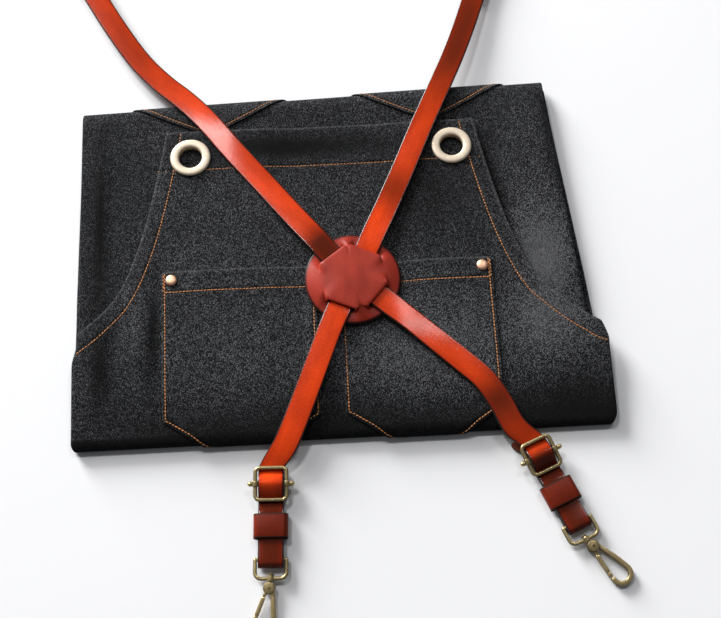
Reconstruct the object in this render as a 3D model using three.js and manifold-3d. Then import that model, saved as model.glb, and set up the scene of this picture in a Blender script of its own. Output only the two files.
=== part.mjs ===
// A bib apron of charcoal denim, folded flat, with its crossed leather harness laid over it.
// Millimetres. X runs across the bib, Y runs from the waist fold up the bib, Z is up from the table.
// Places are measured from the bib's centre line (x), the waist fold (y) and the table (z).
// At the end the whole group is moved so that its origin is the middle of its underside.
import * as THREE from "three";
import { mergeVertices } from "three/addons/utils/BufferGeometryUtils.js";
import Module from "manifold-3d";

const wasm = await Module();
wasm.setup();

// Cloth sizes
const CLOTH = 1.2; // denim wall
const GAP = 0.4; // clear space between pieces that lie on each other
const PLY = 2.2; // height from one folded ply to the next
const SIDE_RADIUS = PLY / 2; // bend of the folded-in sides
const FLAT_HALF_WIDTH = 350; // half the skirt before its sides are folded in
const BIB_TOP = 265; // waist fold to the bib's top edge
const FAR_FOLD = 295; // waist fold to the fold across the skirt
const HEM_AT = 48; // where the skirt's hem ends, under the bib
const FAR_SKEW = 0.0285; // slant of the far fold
const SHORTEST_WING = 4; // a folded-in side starts at this width
const POCKET_REST = { from: 98, to: 126 }; // the under ply rises here, onto the hand pockets
const PATCH_OFFSET = CLOTH + GAP; // from the cloth's middle to the middle of a pocket on it

// Height of the cloth's middle above the table, along each ply
const UNDER_FRONT = CLOTH / 2;
const UNDER_FAR = CLOTH / 2 + PATCH_OFFSET; // the hand pockets lie under this stretch
const SKIRT_RISE = 3 * PLY;
const BIB_HEIGHT = [
  { y: 0, z: 7.2 },
  { y: 8, z: 7.7 },
  { y: 22, z: 8.7 },
  { y: 45, z: 10.7 },
  { y: 70, z: 12.4 },
  { y: 120, z: 13.2 },
  { y: 180, z: 13.2 },
  { y: 214, z: 12.7 },
  { y: 265, z: 12.7 },
];

// Half the cloth's width down the armhole, from the bib's top edge
const ARMHOLE = [
  { below: 0, half: 126 },
  { below: 28, half: 131 },
  { below: 80, half: 142 },
  { below: 108, half: 150 },
  { below: 135, half: 160.5 },
  { below: 150, half: 170 },
  { below: 165, half: 185 },
  { below: 178, half: 202 },
  { below: 192, half: 229 },
  { below: 212, half: 290 },
  { below: 235, half: FLAT_HALF_WIDTH },
];

// Where the sides fold in, left and right of the centre line
const SIDE_FOLDS = {
  waist: { left: 200, right: 216 },
  far: { left: 197, right: 188.5 },
  hem: { left: 196, right: 205 },
};

// Rows of the cloth, as distances from the waist fold
const BIB_ROWS = [265, 240, 214, 190, 165, 139, 118, 97, 82, 72, 60, 45, 30, 18, 8];
const UNDER_ROWS = [8, POCKET_REST.from, POCKET_REST.to, 205];
const SKIRT_ROWS = [285, 267, 245, 205, 165, 125, 98, 72, HEM_AT];
const FOLD_STEPS = 6;
const SIDE_STEPS = 3;
const WING_STEPS = 1;
// Lines of the cloth: fixed ones near the middle, and shares of the way from there to the edge
const MIDDLE_LINES = [-118, -92, -62, -34, -10, 10, 34, 62, 92, 118];
const EDGE_SHARES = [0.35, 0.65, 0.87, 1];

// The middle of the top plies sinks between the folded-in sides, away from the folds at their ends
const SINK = {
  across: { from: -50, fullFrom: -20, fullTo: 45, to: 80 },
  bib: { depth: 2, from: 40, to: 90 },
  skirt: { depth: 1.6, from: 15, to: 55 },
};
// Soft folds in the top plies: centre, half-width across, half-length along, and rise
const SOFT_FOLDS = [
  { ply: "bib", x: -146, y: 62, across: 13, along: 42, rise: 1.5 },
  { ply: "bib", x: -188, y: 48, across: 10, along: 26, rise: 0.9 },
  { ply: "bib", x: 176, y: 62, across: 20, along: 30, rise: 1.1 },
  { ply: "bib", x: -62, y: 205, across: 24, along: 40, rise: 0.7 },
  { ply: "bib", x: 62, y: 190, across: 24, along: 40, rise: 0.6 },
  { ply: "skirt", x: -186, y: 190, across: 13, along: 80, rise: 1.4 },
  { ply: "skirt", x: 172, y: 215, across: 16, along: 50, rise: 1.2 },
];

// Pockets
const CHEST_POCKET = {
  inner: 10,
  outer: 130,
  mouth: 139,
  chamferAcross: 31,
  chamferRows: 4,
  swell: 1.2,
  swellLength: 70,
};
const HAND_POCKET = { middle: 92, halfWidth: 78, mouth: 130, tip: 267, tipSlope: 2.0, tipHalf: 5 };
const HAND_POCKET_LINES = [-1, -0.6, -0.2, 0.2, 0.6, 1];

// Eyelets and rivets
const EYELET = {
  x: 107.3,
  y: 241,
  hole: 9.5,
  rim: 16.5,
  rimEdge: 0.5,
  crown: 3.0,
  round: 1.2,
  innerDrops: [1.1, 0.3],
  outerDrop: 0.6,
  washer: 15,
  washerWall: 0.9,
  clothHole: 10.8,
  sides: 16,
};
const RIVET = { x: 123, y: 132, cap: 4.5, capRise: 1.9, post: 1.5, burr: 3.2, burrWall: 1, sides: 10 };
// The rivet's domed cap, as shares of its radius and rise
const RIVET_DOME = { shoulder: 0.86, shoulderRise: 0.65, top: 0.45 };

// Leather
const STRAP = { width: 19, wall: 2.2, clear: 0.3 };
const CROSS_PATCH = { x: 20, y: 125.5, radius: 37, wall: 2.2, base: 14.6, chord: 24, slit: 2.5, clear: 10.5 };
// Directions of the patch's slits, in degrees from +X, and how its edge is divided between them
const PATCH_SLITS = [65, 126.3, 246.4, 317.8];
const PATCH_LOBES = { slitSpan: 40, step: 15, lipReach: 1.05 };
// Rings of the patch, with the height of its middle over the straps and between them
const PATCH_RINGS = [
  { name: "centre", reach: 0, dome: 6.9 },
  { name: "shoulder", reach: 14, dome: 6.85 },
  { name: "lip", reach: CROSS_PATCH.chord, dome: 6.5, lobe: 5.9 },
  { name: "rim_lip", reach: CROSS_PATCH.chord + CROSS_PATCH.slit, dome: CROSS_PATCH.wall / 2, lobe: 5.0 },
  { name: "rim_middle", reach: 32, dome: CROSS_PATCH.wall / 2, lobe: 3.5 },
  { name: "rim", reach: CROSS_PATCH.radius, dome: CROSS_PATCH.wall / 2 },
];
const KEEPER = {
  width: 26,
  height: 9.2,
  wall: 1.8,
  round: 0.45,
  length: 18.4,
  lift: 0.2,
  along: 31.5,
  margin: 1,
};

// Metal fittings
const WIRE_SOFT = 0.29; // softened edge of a bent wire, as a share of its thickness
const SMALL_CORNER = 0.6;
const SLIDER = {
  halfWidth: 13.2,
  halfLength: 13.5,
  wire: 3,
  corner: 5,
  height: 7,
  bar: 2.6,
  collarHalf: 1.9,
  collarWall: 1,
  knobAt: 15.6,
  knob: 2.1,
};
const SWIVEL_RING = {
  halfWidth: 13,
  length: 14,
  wire: 2.8,
  barCorner: 1,
  corner: 6,
  along: 56,
  height: 4.5,
  hub: 5.4,
  hubLength: 4.2,
  play: 0.35,
};
const SNAP_HOOK = {
  pivot: 7,
  head: 4.4,
  headWall: 4.8,
  wall: 3.6,
  soft: 0.7,
  curlAt: 35,
  curl: 7.1,
  curlFrom: 185,
  curlTo: -15,
  curlStep: 33,
  armBend: { in: 0.7, below: 7 },
  arm: 1.8,
  stem: 1.2,
  stemInHead: 3,
  cap: 2.2,
  capGap: 0.5,
  capWall: 1.1,
};
const GATE = {
  root: 2.9,
  rootWall: 1.8,
  slot: { width: 9, length: 11, wall: 2.5, x: 1.4, past: 1.9 },
  pin: 1.0,
  pinProud: 0.5,
  pinHole: 1.3,
  arm: 1.5,
  wall: 3.2,
  soft: 0.5,
  tongue: 1.2,
  tongueFrom: 0.6,
  armShare: 0.12,
  near: { x: 2.4, past: 4.4 },
  tip: { in: 0.1, below: 5.2 },
};
const END_HOOK = { step: 30, neck: 2 };
const HOOK_PITCH = THREE.MathUtils.degToRad(3.4);
const END_HOOK_PITCH = THREE.MathUtils.degToRad(2.9);

// Strap ends. Headings are the directions in which the ends point, in degrees from +X.
const LOWER_ENDS = {
  left: { x: -49.8, y: -33.7, heading: -92, hookHeading: -101, tailSide: 0, tilt: 6 },
  right: { x: 154.3, y: -22.9, heading: -67, hookHeading: -48.6, tailSide: 6, tilt: 9.5 },
};
const UPPER_ENDS = {
  left: { x: -201, y: 430, heading: 118 },
  right: { x: 152, y: 424, heading: 68.7 },
};

// Routes of the two straps between their ends: the middle of the leather
const ROUTE_RIGHT_TO_LEFT = [
  { x: 138.8, y: 388.5, z: 7.6 },
  { x: 127.4, y: 357.4, z: 9.0 },
  { x: 115.3, y: 327.5, z: 10.9 },
  { x: 100, y: 294, z: 13.4 },
  { x: 84, y: 260, z: 15.1 },
  { x: 66.9, y: 222, z: 15.3 },
  { x: 49.9, y: 185.9, z: 16.3 },
  { x: 39, y: 163.3, z: 18.3 },
  { x: 32.8, y: 150.2, z: 18.4 },
  { x: 27, y: 139.2, z: 16 },
  { x: 20.2, y: 125.5, z: 16 },
  { x: 13.5, y: 112, z: 16 },
  { x: 8, y: 100.5, z: 18.4 },
  { x: 1.8, y: 87.5, z: 18.3 },
  { x: -8.5, y: 63, z: 16.4 },
  { x: -23, y: 28, z: 13.9 },
  { x: -33, y: 4.9, z: 12.3 },
  { x: -38.8, y: -6.5, z: 10.6 },
];
const ROUTE_LEFT_TO_RIGHT = [
  { x: -189, y: 406, z: 7.2 },
  { x: -170, y: 371, z: 7.2 },
  { x: -149, y: 337, z: 8.4 },
  { x: -130, y: 314, z: 10.6 },
  { x: -112, y: 296, z: 12.8 },
  { x: -95.5, y: 277, z: 14.2 },
  { x: -73, y: 246.2, z: 15.2 },
  { x: -48.4, y: 214.6, z: 15.4 },
  { x: -24.3, y: 182.8, z: 16.5 },
  { x: -6, y: 159, z: 18.4 },
  { x: 2, y: 148, z: 18.6 },
  { x: 20.4, y: 126, z: 18.7 },
  { x: 37, y: 111.6, z: 18.6 },
  { x: 46, y: 103.6, z: 18.4 },
  { x: 62.7, y: 88.5, z: 17 },
  { x: 84.5, y: 68.3, z: 16.3 },
  { x: 102.5, y: 51.7, z: 15.1 },
  { x: 116.5, y: 37.7, z: 14 },
  { x: 127.4, y: 19.5, z: 12.8 },
  { x: 136.8, y: -0.9, z: 11.6 },
];
const ROUTE_STEP = 16;

const paint = (color, roughness, metalness) =>
  new THREE.MeshStandardMaterial({ color, roughness, metalness });
const denim = paint(0x2b2c2e, 0.95, 0);
const harnessLeather = paint(0xa8381a, 0.45, 0);
const patchLeather = paint(0x7a2a20, 0.5, 0);
const antiqueBrass = paint(0x8f7a45, 0.4, 1);
const paleBrass = paint(0xe8d3a8, 0.35, 1);
const copper = paint(0xd9a27c, 0.35, 1);

const degrees = THREE.MathUtils.degToRad;
const mix = THREE.MathUtils.lerp;
const ease = (value, from, to) => THREE.MathUtils.smoothstep(value, from, to);

// A smooth curve through a table's rows that never overshoots them.
function lookUp(rows, key, value) {
  const slopes = rows.slice(1).map((row, i) => (row[value] - rows[i][value]) / (row[key] - rows[i][key]));
  const tangents = rows.map((_, i) => {
    const before = slopes[Math.max(i - 1, 0)];
    const after = slopes[Math.min(i, slopes.length - 1)];
    return before * after <= 0 ? 0 : (2 * before * after) / (before + after);
  });
  return (at) => {
    const last = rows.length - 2;
    const found = rows.findIndex((row, i) => i <= last && at <= rows[i + 1][key]);
    const i = found < 0 ? last : found;
    const span = rows[i + 1][key] - rows[i][key];
    const t = THREE.MathUtils.clamp((at - rows[i][key]) / span, 0, 1);
    const end = rows[i + 1][value];
    const start = rows[i][value];
    return (
      start * (1 + 2 * t) * (1 - t) ** 2 +
      end * t * t * (3 - 2 * t) +
      span * (tangents[i] * t * (1 - t) ** 2 + tangents[i + 1] * t * t * (t - 1))
    );
  };
}

const bibHeight = lookUp(BIB_HEIGHT, "y", "z");
const armholeHalf = lookUp(ARMHOLE, "below", "half");
const underHeight = (y) => mix(UNDER_FRONT, UNDER_FAR, ease(y, POCKET_REST.from, POCKET_REST.to));
const skirtHeight = (y) => underHeight(y) + SKIRT_RISE;

// Triangles become a geometry whose faces point out.
function geometryFromTriangles(corners) {
  const flat = corners.flatMap((p) => [p.x, p.y, p.z]);
  let volume = 0;
  for (let i = 0; i < corners.length; i += 3) {
    volume += corners[i].dot(new THREE.Vector3().crossVectors(corners[i + 1], corners[i + 2]));
  }
  const geometry = new THREE.BufferGeometry();
  geometry.setAttribute("position", new THREE.Float32BufferAttribute(flat, 3));
  if (volume < 0) {
    const position = geometry.getAttribute("position");
    for (let i = 0; i < corners.length; i += 3) {
      position.setXYZ(i + 1, corners[i + 2].x, corners[i + 2].y, corners[i + 2].z);
      position.setXYZ(i + 2, corners[i + 1].x, corners[i + 1].y, corners[i + 1].z);
    }
  }
  return geometry;
}

// A sheet of even thickness: a grid of points, with walls where a kept cell has no kept neighbour.
function sheetSolid(points, wall, { keep = () => true, ring = false } = {}) {
  const rowCount = points.length;
  const lineCount = points[0].length;
  const line = (i) => (ring ? (i + lineCount) % lineCount : i);
  const lastCell = ring ? lineCount : lineCount - 1;
  const inside = (j, i) => j >= 0 && j < rowCount - 1 && (ring || (i >= 0 && i < lastCell));
  const kept = (j, i) => inside(j, i) && keep(j, line(i));
  const normals = points.map((row) => row.map(() => new THREE.Vector3()));
  const cells = [];
  for (let j = 0; j < rowCount - 1; j++) {
    for (let i = 0; i < lastCell; i++) {
      if (kept(j, i)) cells.push([j, i]);
    }
  }
  for (const [j, i] of cells) {
    const around = [[j, i], [j, line(i + 1)], [j + 1, line(i + 1)], [j + 1, i]];
    const [a, b, c, d] = around.map(([row, at]) => points[row][at]);
    const firstDiagonal = new THREE.Vector3().subVectors(c, a);
    const secondDiagonal = new THREE.Vector3().subVectors(d, b);
    const facing = firstDiagonal.cross(secondDiagonal).normalize();
    for (const [row, at] of around) normals[row][at].add(facing);
  }
  const corner = (j, i, side) =>
    points[j][line(i)].clone().addScaledVector(normals[j][line(i)].clone().normalize(), (side * wall) / 2);
  const triangles = [];
  const quad = (a, b, c, d) => {
    for (const [p, q, r] of [[a, b, c], [a, c, d]]) {
      const flat = p.distanceTo(q) < 1e-6 || q.distanceTo(r) < 1e-6 || r.distanceTo(p) < 1e-6;
      if (!flat) triangles.push(p, q, r);
    }
  };
  for (const [j, i] of cells) {
    const around = [[j, i], [j, i + 1], [j + 1, i + 1], [j + 1, i]];
    quad(...around.map(([row, at]) => corner(row, at, 1)));
    quad(...around.map(([row, at]) => corner(row, at, -1)).reverse());
    const neighbours = [[j - 1, i], [j, i + 1], [j + 1, i], [j, i - 1]];
    neighbours.forEach(([row, at], k) => {
      if (kept(row, ring ? line(at) : at)) return;
      const [from, to] = [around[k], around[(k + 1) % 4]];
      quad(corner(...from, -1), corner(...to, -1), corner(...to, 1), corner(...from, 1));
    });
  }
  return geometryFromTriangles(triangles);
}

// A flat band carried along stations, each with its place, its sideways direction and half its width.
function ribbonSolid(stations, wall) {
  const rings = stations.map(({ place, across, half }, i) => {
    const before = stations[Math.max(i - 1, 0)].place;
    const after = stations[Math.min(i + 1, stations.length - 1)].place;
    const forward = new THREE.Vector3().subVectors(after, before).normalize();
    const up = new THREE.Vector3().crossVectors(across, forward).normalize();
    const at = (side, level) =>
      place.clone().addScaledVector(across, side * half).addScaledVector(up, (level * wall) / 2);
    return [at(1, 1), at(-1, 1), at(-1, -1), at(1, -1)];
  });
  const triangles = [];
  const quad = (a, b, c, d) => triangles.push(a, b, c, a, c, d);
  for (let j = 0; j + 1 < rings.length; j++) {
    for (let k = 0; k < 4; k++) {
      const next = (k + 1) % 4;
      quad(rings[j][k], rings[j][next], rings[j + 1][next], rings[j + 1][k]);
    }
  }
  quad(...[...rings[0]].reverse());
  quad(...rings[rings.length - 1]);
  return geometryFromTriangles(triangles);
}

// Solids for cutting and joining.
function asSolid(geometry) {
  const bare = new THREE.BufferGeometry().setAttribute("position", geometry.getAttribute("position"));
  if (geometry.index) bare.setIndex(geometry.index);
  const merged = mergeVertices(bare, 1e-4);
  return new wasm.Manifold(
    new wasm.Mesh({
      numProp: 3,
      vertProperties: merged.getAttribute("position").array,
      triVerts: new Uint32Array(merged.index.array),
    }),
  );
}

function asGeometry(solid) {
  const mesh = solid.getMesh();
  const geometry = new THREE.BufferGeometry();
  geometry.setAttribute("position", new THREE.Float32BufferAttribute(mesh.vertProperties, 3));
  geometry.setIndex(new THREE.Uint32BufferAttribute(mesh.triVerts, 1));
  return geometry;
}

const join = (...geometries) => asGeometry(geometries.map(asSolid).reduce((whole, next) => whole.add(next)));
const cut = (geometry, ...tools) =>
  asGeometry(tools.reduce((whole, tool) => whole.subtract(asSolid(tool)), asSolid(geometry)));

// An upright round cutter, and a round rod along Y.
const uprightCutter = (radius, x, y, z, sides) =>
  new THREE.CylinderGeometry(radius, radius, 6, sides).rotateX(Math.PI / 2).translate(x, y, z);
const rodAlongY = (radius, from, to, sides) =>
  new THREE.CylinderGeometry(radius, radius, to - from, sides).translate(0, (from + to) / 2, 0);

// Rows of the folded cloth: where its middle runs, and which way its face looks.
function clothRows() {
  const rows = [];
  const add = (ply, y, z, lookY, lookZ) => rows.push({ ply, y, z, look: new THREE.Vector2(lookY, lookZ) });
  for (const y of BIB_ROWS) {
    const slope = (bibHeight(y + 1) - bibHeight(y - 1)) / 2;
    add("bib", y, bibHeight(y), -slope, 1);
  }
  const front = BIB_ROWS[BIB_ROWS.length - 1];
  const frontRadius = (bibHeight(front) - UNDER_FRONT) / 2;
  for (let k = 1; k < FOLD_STEPS; k++) {
    const turn = (Math.PI * k) / FOLD_STEPS;
    const z = UNDER_FRONT + frontRadius * (1 + Math.cos(turn));
    add("waist", front * (1 - Math.sin(turn)), z, -Math.sin(turn), Math.cos(turn));
  }
  for (const y of UNDER_ROWS) add("under", y, underHeight(y), 0, -1);
  const farRadius = SKIRT_RISE / 2;
  const farFrom = SKIRT_ROWS[0];
  add("under", farFrom, UNDER_FAR, 0, -1);
  for (let k = 1; k < FOLD_STEPS; k++) {
    const turn = (Math.PI * k) / FOLD_STEPS;
    const y = farFrom + (FAR_FOLD - farFrom) * Math.sin(turn);
    add("far", y, UNDER_FAR + farRadius * (1 - Math.cos(turn)), Math.sin(turn), -Math.cos(turn));
  }
  for (const y of SKIRT_ROWS) add("skirt", y, skirtHeight(y), 0, 1);
  rows.forEach((row) => row.look.normalize());
  return rows;
}

// How far the cloth of a ply sinks at a place, or, if negative, how far it rises there.
function sinking(ply, x, y) {
  if (ply !== "bib" && ply !== "skirt") return 0;
  const { from, fullFrom, fullTo, to } = SINK.across;
  const inMiddle = ease(x, from, fullFrom) * (1 - ease(x, fullTo, to));
  const toFold = ply === "bib" ? y : FAR_FOLD - y;
  const middle = SINK[ply].depth * inMiddle * ease(toFold, SINK[ply].from, SINK[ply].to);
  const folds = SOFT_FOLDS.filter((fold) => fold.ply === ply).map(
    (fold) => fold.rise * Math.exp(-(((x - fold.x) / fold.across) ** 2) - ((y - fold.y) / fold.along) ** 2),
  );
  return folds.reduce((sum, fold) => sum - fold, middle);
}

// The point of a row at x, above (or, if negative, below) the cloth's middle.
function clothPoint(row, x, above = 0) {
  const skew = row.ply === "bib" || row.ply === "waist" ? 0 : FAR_SKEW * (row.y / FAR_FOLD);
  const out = above - sinking(row.ply, x, row.y);
  return new THREE.Vector3(x, row.y + skew * x + out * row.look.x, row.z + out * row.look.y);
}

function sideFolds(row) {
  const between = (a, b, t) => ({ left: mix(a.left, b.left, t), right: mix(a.right, b.right, t) });
  if (row.ply === "under") return between(SIDE_FOLDS.waist, SIDE_FOLDS.far, row.y / FAR_FOLD);
  if (row.ply === "far") return SIDE_FOLDS.far;
  if (row.ply === "skirt") {
    return between(SIDE_FOLDS.far, SIDE_FOLDS.hem, (FAR_FOLD - row.y) / (FAR_FOLD - HEM_AT));
  }
  return SIDE_FOLDS.waist;
}

const flatHalf = (row) => (row.ply === "bib" ? armholeHalf(BIB_TOP - row.y) : FLAT_HALF_WIDTH);

// What is left of a row's cloth past a side fold.
const wingWidth = (row, fold) => flatHalf(row) - (fold - SIDE_RADIUS) - Math.PI * SIDE_RADIUS;

// One side of a row, from the last middle line out round the side fold and in along the wing.
function sideOfRow(row, side) {
  const fold = sideFolds(row)[side > 0 ? "right" : "left"];
  const edge = Math.min(flatHalf(row), fold - SIDE_RADIUS);
  const start = MIDDLE_LINES[MIDDLE_LINES.length - 1];
  const points = EDGE_SHARES.map((share) => clothPoint(row, side * mix(start, edge, share)));
  for (let k = 1; k <= SIDE_STEPS; k++) {
    const turn = (Math.PI * k) / SIDE_STEPS;
    const x = side * (edge + SIDE_RADIUS * Math.sin(turn));
    points.push(clothPoint(row, x, -SIDE_RADIUS * (1 - Math.cos(turn))));
  }
  const wing = Math.max(wingWidth(row, fold), SHORTEST_WING);
  for (let k = 1; k <= WING_STEPS; k++) {
    points.push(clothPoint(row, side * (edge - (wing * k) / WING_STEPS), -PLY));
  }
  return points;
}

function apronBody() {
  const rows = clothRows();
  const points = rows.map((row) => [
    ...sideOfRow(row, -1).reverse(),
    ...MIDDLE_LINES.map((x) => clothPoint(row, x)),
    ...sideOfRow(row, 1),
  ]);
  const sideCells = SIDE_STEPS + WING_STEPS;
  const lastCell = points[0].length - 2;
  const hasWing = (j, side) => wingWidth(rows[j], sideFolds(rows[j])[side]) > SHORTEST_WING;
  const keep = (j, i) => {
    if (i < sideCells) return hasWing(j, "left") && hasWing(j + 1, "left");
    if (i > lastCell - sideCells) return hasWing(j, "right") && hasWing(j + 1, "right");
    return true;
  };
  const holes = [-1, 1].flatMap((side) => [
    uprightCutter(EYELET.clothHole, side * EYELET.x, EYELET.y, bibHeight(EYELET.y), EYELET.sides),
    uprightCutter(RIVET.post + GAP, side * RIVET.x, RIVET.y, bibHeight(RIVET.y), RIVET.sides),
  ]);
  return cut(sheetSolid(points, CLOTH, { keep }), ...holes);
}

// A chest pocket lies on the bib from its mouth down to the waist fold, with its lower corners cut off.
function chestPocket(side) {
  const { inner, outer, mouth, chamferAcross, chamferRows, swell, swellLength } = CHEST_POCKET;
  const rows = clothRows().filter((row) => (row.ply === "bib" && row.y <= mouth) || row.ply === "waist");
  const shown = rows.slice(0, rows.findIndex((row) => row.ply === "waist") + FOLD_STEPS / 2);
  const lines = [...MIDDLE_LINES.filter((x) => x >= inner), outer];
  const points = shown.map((row, j) => {
    const taper = Math.max(0, j - (shown.length - 1 - chamferRows)) / chamferRows;
    const low = inner + chamferAcross * taper;
    const high = outer - chamferAcross * taper;
    const open = row.ply === "bib" ? swell * ease(row.y, mouth - swellLength, mouth) : 0;
    return lines.map((x) => {
      const share = (x - inner) / (outer - inner);
      const lift = open * Math.sin(Math.PI * share ** 2) ** 2;
      return clothPoint(row, side * mix(low, high, share), PATCH_OFFSET + lift);
    });
  });
  const level = bibHeight(RIVET.y) + PATCH_OFFSET;
  const hole = uprightCutter(RIVET.post + GAP, side * RIVET.x, RIVET.y, level, RIVET.sides);
  return cut(sheetSolid(points, CLOTH), hole);
}

// A hand pocket of the skirt: its pointed foot shows past the far fold, the rest lies underneath.
function handPocket(side) {
  const { middle, halfWidth, mouth, tip, tipSlope, tipHalf } = HAND_POCKET;
  const all = clothRows();
  const mouthRow = { ...all.find((row) => row.ply === "under" && row.y > mouth), y: mouth };
  const under = all.filter((row) => row.ply === "under" && row.y > mouth);
  const far = all.filter((row) => row.ply === "far");
  const skirt = all.filter((row) => row.ply === "skirt" && row.y >= tip);
  const rows = [mouthRow, ...under, ...far, ...skirt];
  const toTip = (row) => {
    if (row.ply === "skirt") return row.y - tip;
    if (row.ply === "far") return FAR_FOLD - tip;
    return 2 * FAR_FOLD - tip - row.y;
  };
  const points = rows.map((row) => {
    const half = Math.min(halfWidth, tipHalf + tipSlope * toTip(row));
    return HAND_POCKET_LINES.map((share) => clothPoint(row, side * middle + half * share, PATCH_OFFSET));
  });
  return sheetSolid(points, CLOTH);
}

// A round profile turned about an upright axis. It starts and ends on the axis or closes on itself.
function turned(profile, sides, x, y, z) {
  const points = profile.map(([radius, height]) => new THREE.Vector2(radius, height));
  const flat = new THREE.LatheGeometry(points, sides).rotateX(Math.PI / 2).toNonIndexed();
  const position = flat.getAttribute("position");
  const corners = [];
  for (let i = 0; i < position.count; i += 3) {
    const three = [0, 1, 2].map((k) => new THREE.Vector3().fromBufferAttribute(position, i + k));
    const [a, b, c] = three;
    const thin = a.distanceTo(b) < 1e-5 || b.distanceTo(c) < 1e-5 || c.distanceTo(a) < 1e-5;
    if (!thin) corners.push(...three);
  }
  return geometryFromTriangles(corners).translate(x, y, z);
}

// An eyelet clamps the cloth between a crowned rim and a washer behind.
function eyelet(side) {
  const { hole, rim, rimEdge, crown, round, innerDrops, outerDrop, washer, washerWall, sides } = EYELET;
  const face = CLOTH / 2 + GAP;
  const barrel = EYELET.clothHole - GAP;
  const middle = (hole + rim) / 2;
  const profile = [
    [hole, -face - washerWall],
    [hole, crown - innerDrops[0]],
    [hole + round, crown - innerDrops[1]],
    [middle, crown],
    [rim - round, crown - outerDrop],
    [rim, face + rimEdge],
    [rim, face],
    [barrel, face],
    [barrel, -face],
    [washer, -face],
    [washer, -face - washerWall],
    [hole, -face - washerWall],
  ];
  return turned(profile, sides, side * EYELET.x, EYELET.y, bibHeight(EYELET.y));
}

// A rivet goes through the pocket's corner and the bib, and is closed by a burr behind.
function rivet(side) {
  const { cap, capRise, post, burr, burrWall, sides } = RIVET;
  const top = PATCH_OFFSET + CLOTH / 2 + GAP;
  const back = -CLOTH / 2 - GAP;
  const profile = [
    [0, back - burrWall],
    [burr, back - burrWall],
    [burr, back],
    [post, back],
    [post, top],
    [cap, top],
    [cap * RIVET_DOME.shoulder, top + capRise * RIVET_DOME.shoulderRise],
    [cap * RIVET_DOME.top, top + capRise],
    [0, top + capRise],
  ];
  return turned(profile, sides, side * RIVET.x, RIVET.y, bibHeight(RIVET.y));
}

// Directions on the table.
const headingOf = (angle) => new THREE.Vector3(Math.cos(degrees(angle)), Math.sin(degrees(angle)), 0);
const UP = new THREE.Vector3(0, 0, 1);

// A strap's end, in its own upright plane: rows of how far along it lies, its height, and its half width.
const strapHalf = STRAP.width / 2;
const LOOP = { slack: 2.5, radius: (SWIVEL_RING.wire + STRAP.wall) / 2 + STRAP.clear, straight: 8, steps: 6 };
const LOOP_AT = SWIVEL_RING.along + LOOP.slack;
const TAIL = { roundFrom: -8, end: -19, shares: [0, 0.5, 0.8, 1], round: 0.92 };
const UPPER_TURN = { start: -12, under: -8, roundFrom: -24, end: -34 };
const LOOP_TOP = SWIVEL_RING.height + LOOP.radius;
const LOOP_LOW = SWIVEL_RING.height - LOOP.radius;
const RETURN_FLAT = STRAP.wall / 2 + STRAP.clear;
const PLY_STEP = STRAP.wall + STRAP.clear;
const KEEPER_RISE = KEEPER.lift + KEEPER.wall + STRAP.wall / 2 + STRAP.clear;

function loopRows(at) {
  const rows = [];
  for (let k = 0; k <= LOOP.steps; k++) {
    const turn = (Math.PI * k) / LOOP.steps;
    rows.push({
      along: at + LOOP.radius * Math.sin(turn),
      height: SWIVEL_RING.height + LOOP.radius * Math.cos(turn),
    });
  }
  return rows;
}

// The rounded tip of a tail that ends at a place, as it leaves the strap's full width.
function tipRows(from, to, height, side = 0) {
  return TAIL.shares.map((share) => ({
    along: mix(from, to, share),
    height,
    side: side * share,
    half: strapHalf * Math.sqrt(1 - (TAIL.round * share) ** 2),
  }));
}

// The slider tips up towards the apron about its near bar.
const sliderReach = SLIDER.halfLength - SLIDER.wire / 2;
const HUMP_STEP = 0.25;
function tipped(along, height, tilt) {
  const back = along - sliderReach;
  const over = height - SLIDER.height;
  const turn = degrees(tilt);
  return {
    along: sliderReach + back * Math.cos(turn) + over * Math.sin(turn),
    height: SLIDER.height - back * Math.sin(turn) + over * Math.cos(turn),
  };
}

// A lower end goes over the slider's bar, through the keeper, round the ring and back under the slider.
function lowerEndRows({ tailSide, tilt }) {
  const barHeight = SLIDER.height + SLIDER.bar / 2 + STRAP.wall / 2 + 2 * STRAP.clear;
  const low = RETURN_FLAT + PLY_STEP;
  const hump = [];
  for (let share = -1; share <= 1; share += HUMP_STEP) {
    const rise = (1 + Math.cos(Math.PI * share)) / 2;
    hump.push(tipped(sliderReach * share, mix(low, barHeight, rise), tilt));
  }
  const keeperFrom = KEEPER.along - KEEPER.length / 2 - KEEPER.margin;
  const keeperTo = KEEPER.along + KEEPER.length / 2 + KEEPER.margin;
  return [
    ...hump,
    { along: keeperFrom, height: KEEPER_RISE + PLY_STEP },
    { along: keeperTo, height: KEEPER_RISE + PLY_STEP },
    { along: LOOP_AT - LOOP.straight, height: LOOP_TOP },
    ...loopRows(LOOP_AT),
    { along: LOOP_AT - LOOP.straight, height: LOOP_LOW },
    { along: keeperTo, height: KEEPER_RISE },
    { along: keeperFrom, height: KEEPER_RISE },
    { along: sliderReach, height: RETURN_FLAT },
    { along: 0, height: RETURN_FLAT },
    ...tipRows(TAIL.roundFrom, TAIL.end, RETURN_FLAT, tailSide),
  ];
}

// An upper end is folded round a plain hook's bar, with a short tail below.
function upperEndRows() {
  return [
    { along: UPPER_TURN.start, height: LOOP_TOP },
    ...loopRows(LOOP.slack),
    { along: UPPER_TURN.under, height: LOOP_LOW },
    ...tipRows(UPPER_TURN.roundFrom, UPPER_TURN.end, RETURN_FLAT),
  ];
}

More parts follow.
